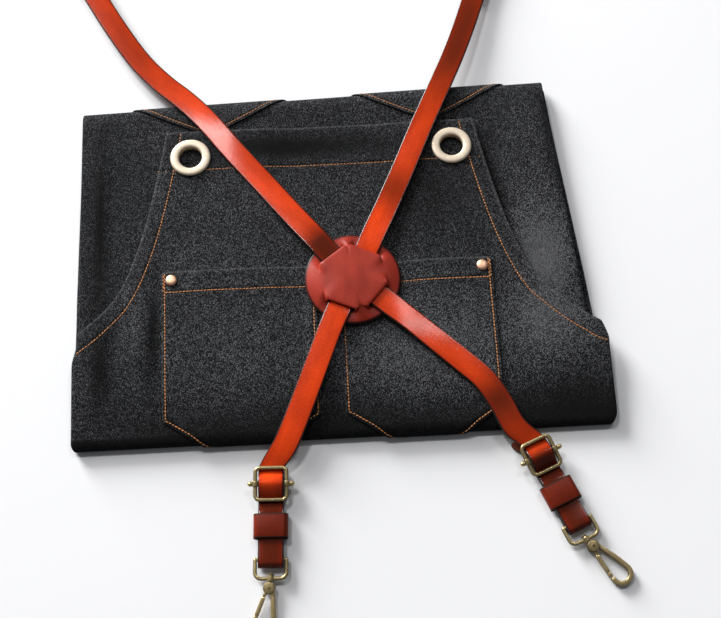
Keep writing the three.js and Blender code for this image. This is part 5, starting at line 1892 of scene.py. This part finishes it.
@dataclass
class CrossPatch:
    """The round patch: its middle lies over the straps and its rim under them, with a slit for each end."""

    wardrobe: Wardrobe
    x: float = 20.0
    y: float = 125.5
    base: float = 14.6
    wall: float = 2.2
    radius: float = 37.0
    chord: float = 24.0
    slit: float = 2.5
    clear: float = 10.5
    lobe_blend: float = 8.0
    slits: tuple[float, ...] = (65.0, 126.3, 246.4, 317.8)
    shoulder_blend: float = 10.0
    neck_share: float = 0.45
    least_neck: float = 0.1
    straight_from: float = 14.0
    straight_to: float = 32.0
    dark_rim: float = 8.0
    lay_from: float = 60.0
    slit_spokes: int = 14
    lobe_spoke_degrees: float = 4.0
    lobe_margin: float = 0.4
    least_lobe_spokes: int = 6
    rings_inside: tuple[float, ...] = (0.0, 2.5, 5, 8, 11, 14, 16.5, 19, 21, 22.6)
    rings_in_slit: tuple[float, ...] = (24.8, 25.6)
    rings_outside: tuple[float, ...] = (27.5, 29, 31, 33, 35, 36.2)
    over: SmoothTable = SmoothTable(
        ((0, 7.8), (8, 7.65), (16, 7.25), (24, 6.65), (27, 5.4), (30, 4.1), (33.5, 2.6), (37, 1.1))
    )
    lobe: SmoothTable = SmoothTable((
        (0, 7.8), (6, 7.7), (12, 7.35), (18, 6.65), (24, 5.55),
        (27, 4.8), (30, 3.85), (33.5, 2.55), (37, 1.1),
    ))

    def build(self) -> Piece:
        """Builds the patch on rings and spokes.

        A spoke through a slit runs straight across it, so that the slit is a chord, keeps the height over the
        strap up to the slit, and lies flat under the strap beyond it. A spoke between slits goes smoothly
        from that to the lobe's rounder fall.

        Returns:
            The patch.
        """
        lip = self.chord + self.slit
        in_slit_rings = [self.chord, *self.rings_in_slit, lip]
        reach = np.array([*self.rings_inside, *in_slit_rings, *self.rings_outside, self.radius])[:, None]
        open_rows = slice(len(self.rings_inside), len(self.rings_inside) + len(in_slit_rings) - 1)
        spread_at = np.arcsin(self.clear / np.maximum(reach, self.chord))
        straight = ease(reach, self.straight_from, self.chord) * (1.0 - ease(reach, lip, self.straight_to))
        slit_end = 1.0 + straight * (1.0 / np.cos(spread_at) - 1.0)
        under = ease(reach, self.chord, lip)
        over = self.over(reach)
        share = np.linspace(-1.0, 1.0, self.slit_spokes + 1)[None, :]
        turn = np.arcsin(share * self.clear / np.maximum(reach, self.chord))
        slit_distance = reach * (1.0 + straight * (1.0 / np.cos(turn) - 1.0))
        slit_height = over + (self.wall / 2.0 - over) * under + 0 * turn
        angles, distances, heights, in_slit = [], [], [], []
        turns = np.radians([*self.slits, self.slits[0] + 360.0])
        for at, following in zip(turns[:-1], turns[1:]):
            angles.append(at + turn)
            distances.append(slit_distance)
            heights.append(slit_height)
            gap = math.degrees(following - at - 2 * self.lobe_margin)
            count = max(int(gap / self.lobe_spoke_degrees), self.least_lobe_spokes)
            part = np.linspace(0.0, 1.0, count + 1)[None, 1:-1]
            start = at + spread_at
            between = following - spread_at - start
            angles.append(start + between * part)
            from_end = np.minimum(part, 1.0 - part) * between * reach
            neck = np.maximum(between * reach * self.neck_share, self.least_neck)
            in_lobe = ease(from_end / np.minimum(self.lobe_blend, neck), 0.0, 1.0)
            distance = reach * (slit_end + (1.0 - slit_end) * in_lobe)
            distances.append(distance)
            level = over + (self.lobe(distance) - over) * ease(from_end, 0.0, self.shoulder_blend)
            heights.append(level + (self.wall / 2.0 - level) * under * (1.0 - in_lobe))
            in_slit += [True] * self.slit_spokes + [False] * count
        angle, distance, height = (np.concatenate(rows, axis=1) for rows in (angles, distances, heights))
        grid = np.stack([distance * np.cos(angle), distance * np.sin(angle), height], axis=-1)
        grid = np.concatenate([grid, grid[:, :1]], axis=1)
        keep = np.ones((len(reach) - 1, grid.shape[1] - 1), bool)
        keep[open_rows] &= ~np.array(in_slit)[None, :]
        points = grid + [self.x, self.y, self.base]
        lay = grid[..., :2] + self.lay_from
        far = 1.0 - np.clip((self.radius - reach) / self.dark_rim, 0.0, 1.0)
        draft = Draft()
        draft.add_sheet(points, self.wall, keep, lay, True, across=far)
        return self.wardrobe.hang(
            draft, "patch_leather_disc", PATCH_LEATHER, "patch_leather", stands_for=["cross_patch"]
        )


@dataclass(frozen=True)
class HookShape:
    """Sizes of the snap hooks and the plain end hooks in their own axes: y runs towards the hook's tip.

    The hub, the stem and the pin are turned profiles: radius, and height along the axis.
    """

    hub: Pairs = (
        (1.55, -2.1), (2.2, -2.1), (2.6, -1.7), (2.7, 0.0), (2.6, 1.7), (2.2, 2.1), (1.55, 2.1), (1.55, -2.1),
    )
    stem: Pairs = (
        (0.0, -3.7), (1.7, -3.7), (2.2, -3.4), (2.2, -2.8), (1.9, -2.6), (1.2, -2.6), (1.2, 2.3),
        (1.9, 2.5), (2.2, 3.0), (1.9, 3.6), (0.0, 3.8),
    )
    pin: Pairs = (
        (0.0, -2.75), (0.7, -2.75), (1.05, -2.55), (1.05, 2.55), (0.7, 2.75), (0.35, 2.6), (0.0, 2.5),
    )
    head: tuple[float, float, float] = (0.0, 7.0, 0.0)
    cheek_half: float = 2.2
    cheek_wall: float = 1.15
    cheek_height: float = 1.825
    cheek_flat: float = 0.6
    bridge_radius: float = 3.75
    bridge_turn: Span = (112.0, 318.0)
    arm: Pairs = ((-3.1, 9.6), (-3.9, 14.0), (-5.0, 20.0), (-6.2, 26.6))
    curl_y: float = 35.0
    curl_radius: float = 7.1
    curl_turn: Span = (183.0, -20.0)
    gate_start: Span = (1.6, 9.4)
    gate_near: Span = (2.95, 13.6)
    gate_tip: Span = (7.05, 31.6)
    gate_notch: float = 0.78
    loop_y: float = 49.0
    loop_root: Span = (0.8, 21.0)
    loop_side: Span = (6.6, 46.5)
    neck: Pairs = ((0.0, 13.4), (0.0, 16.0), (0.0, 20.0), (0.0, 23.0))


HOOK = HookShape()


def arc(radius: float, middle_y: float, degrees: Span, count: int) -> Array:
    """Draws part of a circle about a place on the y axis."""
    turn = np.radians(np.linspace(*degrees, count))
    return np.stack([radius * np.cos(turn), middle_y + radius * np.sin(turn)], axis=-1)


@dataclass
class LowerFittings:
    """The slider, keeper, swivel ring, snap hook and gate on one lower strap end."""

    wardrobe: Wardrobe
    name: str
    end: StrapEnd
    lie: Placement = field(init=False)
    slider: Placement = field(init=False)
    band: Placement = field(init=False)
    ring: Placement = field(init=False)
    hook: Placement = field(init=False)
    knob: float = 2.0
    knob_at: float = 15.7
    collar: float = 2.2

    def __post_init__(self) -> None:
        """Works out where each fitting lies."""
        self.lie = Placement.on_table(self.end.x, self.end.y, 0.0, self.end.heading)
        along, height = FIT.tipped(np.array(0.0), np.array(FIT.slider_height), self.end.tilt)
        self.slider = self.lie.child((0.0, along, height), pitch=-self.end.tilt)
        self.band = self.lie.child((0.0, FIT.keeper_along, FIT.keeper_lift + FIT.keeper_height / 2.0))
        self.ring = self.lie.child((0.0, FIT.ring_along, FIT.ring_height))
        turn = self.end.hook_heading - self.end.heading
        self.hook = self.ring.child((0.0, FIT.ring_length, 0.0), pitch=-FIT.hook_pitch, turn=turn)

    def build(self) -> None:
        """Builds all the fittings."""
        self.build_slider()
        self.build_keeper()
        self.build_ring()
        self.build_hook()
        self.build_gate()

    def metal(self, draft: Draft, name: str, body: str, node: str) -> Piece:
        """Hands a brass piece over."""
        return self.wardrobe.hang(
            draft, f"{name}_{self.name}", ANTIQUE_BRASS, "antique_brass", body, [f"{node}_{self.name}"]
        )

    def build_slider(self) -> None:
        """Builds the slider: a bent wire frame, and a bar with collars round its sides and round ends."""
        draft = Draft()
        low, high = -FIT.slider_half, FIT.slider_half
        corners = (FIT.slider_corner, FIT.slider_corner)
        add_wire(draft, self.slider, FIT.slider_width, low, high, FIT.slider_wire, corners)
        self.metal(draft, "slider_wire", "apron", "slider_frame")
        draft = Draft()
        half = FIT.slider_bar / 2.0
        end = np.linspace(0.0, math.pi / 2.0, 7)
        knob = np.stack([self.knob * np.cos(end), self.knob_at + self.knob * np.sin(end)], axis=-1)
        knob[-1, 0] = 0.0
        right = np.vstack([[(half, 0.0), (half, 13.9), (1.85, 14.1)], knob])
        profile = np.vstack([(right * [1.0, -1.0])[::-1], right[1:]])
        rod = turned_surface(profile, 18, 0)
        draft.add_grid(self.slider.place(rod), polish=0.55 + 0.45 * ease(np.abs(rod[..., 0]), 13.8, 14.4))
        tube = turned_surface(rounded_section(0.5, 1.9, 0.3, 3) + [self.collar, 0.0], 20, 1)
        polish = 0.35 + 0.45 * ease(np.abs(tube[..., 2]), 1.2, 2.4)
        for side in (-1.0, 1.0):
            shift = [side * (FIT.slider_width - FIT.slider_wire / 2.0), 0.0, 0.0]
            draft.add_grid(self.slider.place(tube + shift), polish=polish)
        self.metal(draft, "slider_rod", "apron", "slider_bar")

    def build_keeper(self) -> None:
        """Builds the keeper: a rounded band of leather round both plies of the strap."""
        half_wall, half_length = FIT.keeper_wall / 2.0, FIT.keeper_length / 2.0
        corner = 0.45 * FIT.keeper_height - half_wall
        half_width, half_height = FIT.keeper_width / 2.0, FIT.keeper_height / 2.0
        line = rounded_section(half_width - half_wall, half_height - half_wall, corner, 10)
        section = rounded_section(half_wall, half_length, 0.45, 3)
        surface = flat_sweep(line, section, True)[..., [0, 2, 1]]
        run = lengths_along(line)
        lay = np.stack(np.broadcast_arrays(section[None, :, 1], run[:, None]), axis=-1) + [200.0, 0.0]
        marks = {
            "across": section[:, 1] / half_length,
            "cut": ease(np.abs(section[:, 1]), half_length - 0.35, half_length - 0.05),
            "back": ease(-section[:, 0], 0.2, 0.8),
        }
        draft = Draft()
        draft.add_grid(self.band.place(surface), lay, **marks)
        node = f"keeper_{self.name}"
        self.wardrobe.hang(
            draft, f"keeper_leather_{self.name}", KEEPER_LEATHER, "patch_leather", stands_for=[node]
        )

    def build_ring(self) -> None:
        """Builds the swivel ring: a bent wire with a straight bar, and a bored hub for the hook's stem."""
        draft = Draft()
        add_ring_wire(draft, self.ring)
        barrel = turned_surface(np.array(HOOK.hub), 28, 1)
        draft.add_grid(self.hook.place(barrel), polish=0.25 + 0.6 * ease(np.abs(barrel[..., 2]), 0.8, 2.5))
        self.metal(draft, "ring_wire", f"ring_{self.name}", "swivel_ring")

    def build_hook(self) -> None:
        """Builds the hook: a stem with a cap, a slotted head with its pin, and the long curled arm."""
        draft = Draft()
        rod = turned_surface(np.array(HOOK.stem), 24, 1)
        draft.add_grid(self.hook.place(rod), polish=0.3 + 0.4 * ease(np.abs(rod[..., 2]), 0.6, 2.0))
        cheek = rounded_section(HOOK.cheek_half, HOOK.cheek_wall / 2.0, 0.35, 3)
        cheek = cheek + [HOOK.cheek_half, HOOK.cheek_height]
        cheek[cheek[:, 0] < HOOK.cheek_flat, 0] = 0.0
        for side in (-1.0, 1.0):
            disc = turned_surface(cheek * [1.0, side], 32, 2)
            rim = np.hypot(disc[..., 0], disc[..., 1])
            draft.add_grid(self.hook.place(disc + HOOK.head), polish=1.0 - 0.8 * ease(rim, 3.7, 4.35))
        bridge = arc(HOOK.bridge_radius, HOOK.head[1], HOOK.bridge_turn, 28)
        add_bar(draft, self.hook, bridge, rounded_section(0.62, 2.3, 0.3, 2))
        peg = turned_surface(np.array(HOOK.pin), 16, 2) + HOOK.head
        draft.add_grid(self.hook.place(peg), polish=0.15)
        curl = arc(HOOK.curl_radius, HOOK.curl_y, HOOK.curl_turn, 40)
        keys = np.vstack([HOOK.arm, curl[2:]])
        add_bar(draft, self.hook, smooth_path(keys, 3), rounded_section(1.8, 1.8, 0.75, 3))
        self.metal(draft, "hook_casting", f"hook_{self.name}", "snap_hook")

    def build_gate(self) -> None:
        """Builds the gate: a thin root that turns on the pin, a tongue and a thicker arm with a notch."""
        draft = Draft()
        root = rounded_section(0.8, 0.9, 0.2, 2) + [2.1, 0.0]
        ring = turned_surface(root, 28, 2) + HOOK.head
        draft.add_grid(self.hook.place(ring), polish=0.3)
        tongue = np.linspace(HOOK.gate_start, HOOK.gate_near, 4)
        arm = np.linspace(HOOK.gate_near, HOOK.gate_tip, 24)
        add_bar(draft, self.hook, tongue, rounded_section(1.2, 0.9, 0.25, 2))
        add_bar(draft, self.hook, arm, rounded_section(1.5, 1.6, 0.55, 3), HOOK.gate_notch)
        self.metal(draft, "gate_lever", f"gate_{self.name}", "hook_gate")


def add_bar(draft: Draft, lie: Placement, line: Array, section: Array, notch: float = 2.0) -> None:
    """Sweeps a rounded bar along a flat line and closes its ends.

    Args:
        draft: Where the bar goes.
        lie: Its placement.
        line: Its line.
        section: Its closed section.
        notch: The share of its length where it is nicked, or more than 1 for none.
    """
    surface = flat_sweep(line, section, False)
    share = np.linspace(0.0, 1.0, len(line))
    nick = 1.0 - 0.16 * np.exp(-(((share - notch) / 0.035) ** 2))
    ends = np.sqrt(1.0 - 0.35 * np.maximum(ease(share, 0.95, 1.0), 1.0 - ease(share, 0.0, 0.05)))
    flat = np.column_stack([line, np.zeros(len(line))])[:, None, :]
    surface = flat + (surface - flat) * (nick * ends)[:, None, None]
    half = np.abs(section[:, 1]).max()
    polish = ease(np.abs(section[:, 1]), 0.5 * half, half)[None, :] * (0.4 + 0.6 * nick**4)[:, None]
    placed = lie.place(surface)
    draft.add_grid(placed, polish=polish)
    for end in (0, -1):
        draft.add_cap(placed[end], polish=0.2)


def add_wire(
    draft: Draft,
    lie: Placement,
    half: float,
    low: float,
    high: float,
    wire: float,
    corners: Span,
) -> None:
    """Bends a round wire, slightly flattened, round a rectangle.

    Args:
        draft: Where the wire goes.
        lie: Its placement.
        half: Half the frame's outer width.
        low: The frame's lowest outer edge.
        high: The frame's highest outer edge.
        wire: The wire's thickness.
        corners: Outer corner radii at the low and the high side.
    """
    inset = wire / 2.0
    inner = (max(corners[0] - inset, 0.3), max(corners[1] - inset, 0.3))
    line = rounded_line(half - inset, low + inset, high - inset, inner)
    apart = np.linalg.norm(np.diff(line, axis=0), axis=1) > 1e-6
    section = rounded_section(inset, inset, 0.8 * inset, 4)
    surface = flat_sweep(line[np.r_[True, apart]], section, True)
    draft.add_grid(lie.place(surface), polish=ease(np.abs(section[:, 1]), 0.5 * inset, inset))


def add_ring_wire(draft: Draft, lie: Placement) -> None:
    """Bends a ring's wire: a straight bar for the strap and rounded corners at the hook's side."""
    half_wire = FIT.ring_wire / 2.0
    corners = (FIT.ring_bar_corner, FIT.ring_corner)
    add_wire(draft, lie, FIT.ring_half, -half_wire, FIT.ring_length + half_wire, FIT.ring_wire, corners)


@dataclass
class EndHook:
    """A plain hook on an upper strap end: a wire bar, a neck and a closed loop."""

    wardrobe: Wardrobe
    name: str
    end: StrapEnd

    def build(self) -> Piece:
        """Builds the hook from a bent wire, a short neck and a drop-shaped loop."""
        lie = Placement.on_table(self.end.x, self.end.y, FIT.ring_height, self.end.heading)
        lie = lie.child((0.0, 0.0, 0.0), pitch=-FIT.end_pitch)
        draft = Draft()
        add_ring_wire(draft, lie)
        add_bar(draft, lie, np.array(HOOK.neck), rounded_section(4.3, 1.4, 0.6, 3))
        curl = arc(HOOK.curl_radius, HOOK.loop_y, (0.0, 180.0), 33)
        rising = np.linspace(HOOK.loop_root, HOOK.loop_side, 10)
        line = np.vstack([rising, curl, (rising * [-1.0, 1.0])[::-1], rising[:1]])
        section = rounded_section(1.8, 1.4, 0.6, 3)
        surface = flat_sweep(line, section, True)
        draft.add_grid(lie.place(surface), polish=ease(np.abs(section[:, 1]), 0.5, 1.38))
        name, node = f"end_hook_casting_{self.name}", f"end_hook_{self.name}"
        return self.wardrobe.hang(draft, name, ANTIQUE_BRASS, "antique_brass", stands_for=[node])


@dataclass(frozen=True)
class Lamp:
    """A round light that looks at the frame's origin, in metres and watts."""

    name: str
    place: tuple[float, float, float]
    size: float
    power: float

    def hang(self) -> None:
        """Adds the light to the scene."""
        light = bpy.data.lights.new(self.name, "AREA")
        light.shape = "DISK"
        light.size = self.size
        light.energy = self.power
        lamp = bpy.data.objects.new(self.name, light)
        lamp.location = self.place
        lamp.rotation_euler = (-Vector(self.place)).to_track_quat("-Z", "Y").to_euler()
        bpy.context.scene.collection.objects.link(lamp)


LAMPS = (
    Lamp("window", (-7.4, 10.9, 3.6), 6.0, 4000.0),
    Lamp("key", (-3.9, 4.3, 3.35), 3.0, 150.0),
    Lamp("left_sheen", (-1.20, 1.69, 3.50), 0.75, 42.0),
    Lamp("right_sheen", (1.13, 1.75, 3.41), 0.75, 20.0),
)


@dataclass
class Studio:
    """The pale table, the light from behind on the left, and the camera at the photograph's angle."""

    target: tuple[float, float, float] = (25.0, 106.0, 0.0)
    azimuth: float = -3.119
    elevation: float = 68.717
    distance: float = 1032.9
    focal_pixels: float = 1300.0
    image_width: float = 721.0
    sensor: float = 36.0
    floor_half: float = 6.0
    floor_drop: float = 0.0003
    surround: Colour = rgb(0.93, 0.95, 1.0)
    surround_strength: float = 0.12

    def build(self) -> None:
        """Sets the table, the lights and the camera."""
        self.lay_floor()
        self.hang_lights()
        self.set_camera()

    def lay_floor(self) -> None:
        """Lays the table just under the apron."""
        draft = Draft()
        side = np.linspace(-self.floor_half, self.floor_half, 3) / MM
        x, y = np.meshgrid(side, side[::-1])
        draft.add_grid(np.stack([x, y, np.full_like(x, -self.floor_drop / MM)], axis=-1))
        floor = draft.build("pale_floor")
        floor.data.materials.append(FloorFinish().make())

    def hang_lights(self) -> None:
        """Hangs a window and a weaker key behind on the left, two sheen lamps and a pale surround."""
        for lamp in LAMPS:
            lamp.hang()
        world = bpy.data.worlds.new("surround")
        world.use_nodes = True
        background = next(n for n in world.node_tree.nodes if n.type == "BACKGROUND")
        background.inputs["Color"].default_value = self.surround
        background.inputs["Strength"].default_value = self.surround_strength
        bpy.context.scene.world = world
        bpy.context.scene.view_settings.view_transform = "Standard"

    def set_camera(self) -> None:
        """Sets the camera at the photograph's azimuth, elevation, distance and focal length."""
        a, e = math.radians(self.azimuth), math.radians(self.elevation)
        back = Vector((math.sin(a) * math.cos(e), -math.cos(a) * math.cos(e), math.sin(e)))
        camera = bpy.data.cameras.new("camera")
        camera.sensor_width = self.sensor
        camera.lens = self.sensor * self.focal_pixels / self.image_width
        camera.clip_start = 0.01
        holder = bpy.data.objects.new("camera", camera)
        target = Vector(to_frame(np.array(self.target)))
        holder.location = target + back * self.distance * MM
        holder.rotation_euler = back.to_track_quat("Z", "Y").to_euler()
        bpy.context.scene.collection.objects.link(holder)
        bpy.context.scene.camera = holder


def main() -> None:
    """Builds the studio and every piece of the apron, in order."""
    logging.basicConfig(level=logging.INFO, format="%(message)s")
    Studio().build()
    wardrobe = Wardrobe()
    body = DenimBody(wardrobe)
    denim = body.build()
    thread = [body.sew()]
    for side in (-1, 1):
        for pocket in (ChestPocket(wardrobe, side), HandPocket(wardrobe, side)):
            pocket.build()
            thread.append(pocket.sew())
        Eyelet(wardrobe, side).build()
        Rivet(wardrobe, side).build()
    for name, upper, route, lower, burns, rolls in (
        ("under", "right", ROUTE_RIGHT_TO_LEFT, "left", PAINTED_SHADE_RIGHT_TO_LEFT, ROLLS_RIGHT_TO_LEFT),
        ("over", "left", ROUTE_LEFT_TO_RIGHT, "right", PAINTED_SHADE_LEFT_TO_RIGHT, ROLLS_LEFT_TO_RIGHT),
    ):
        ends = {"upper": UPPER_ENDS[upper], "lower": LOWER_ENDS[lower]}
        path = {"route": route, "burns": burns, "rolls": rolls}
        strap = Strap(wardrobe, f"strap_leather_{name}", f"strap_{name}", **ends, **path)
        strap.build()
        LOG.info("%s is %.0f mm long", strap.name, strap.length)
    CrossPatch(wardrobe).build()
    for name, end in LOWER_ENDS.items():
        LowerFittings(wardrobe, name, end).build()
    for name, end in UPPER_ENDS.items():
        EndHook(wardrobe, name, end).build()


if __name__ == "__main__":
    main()
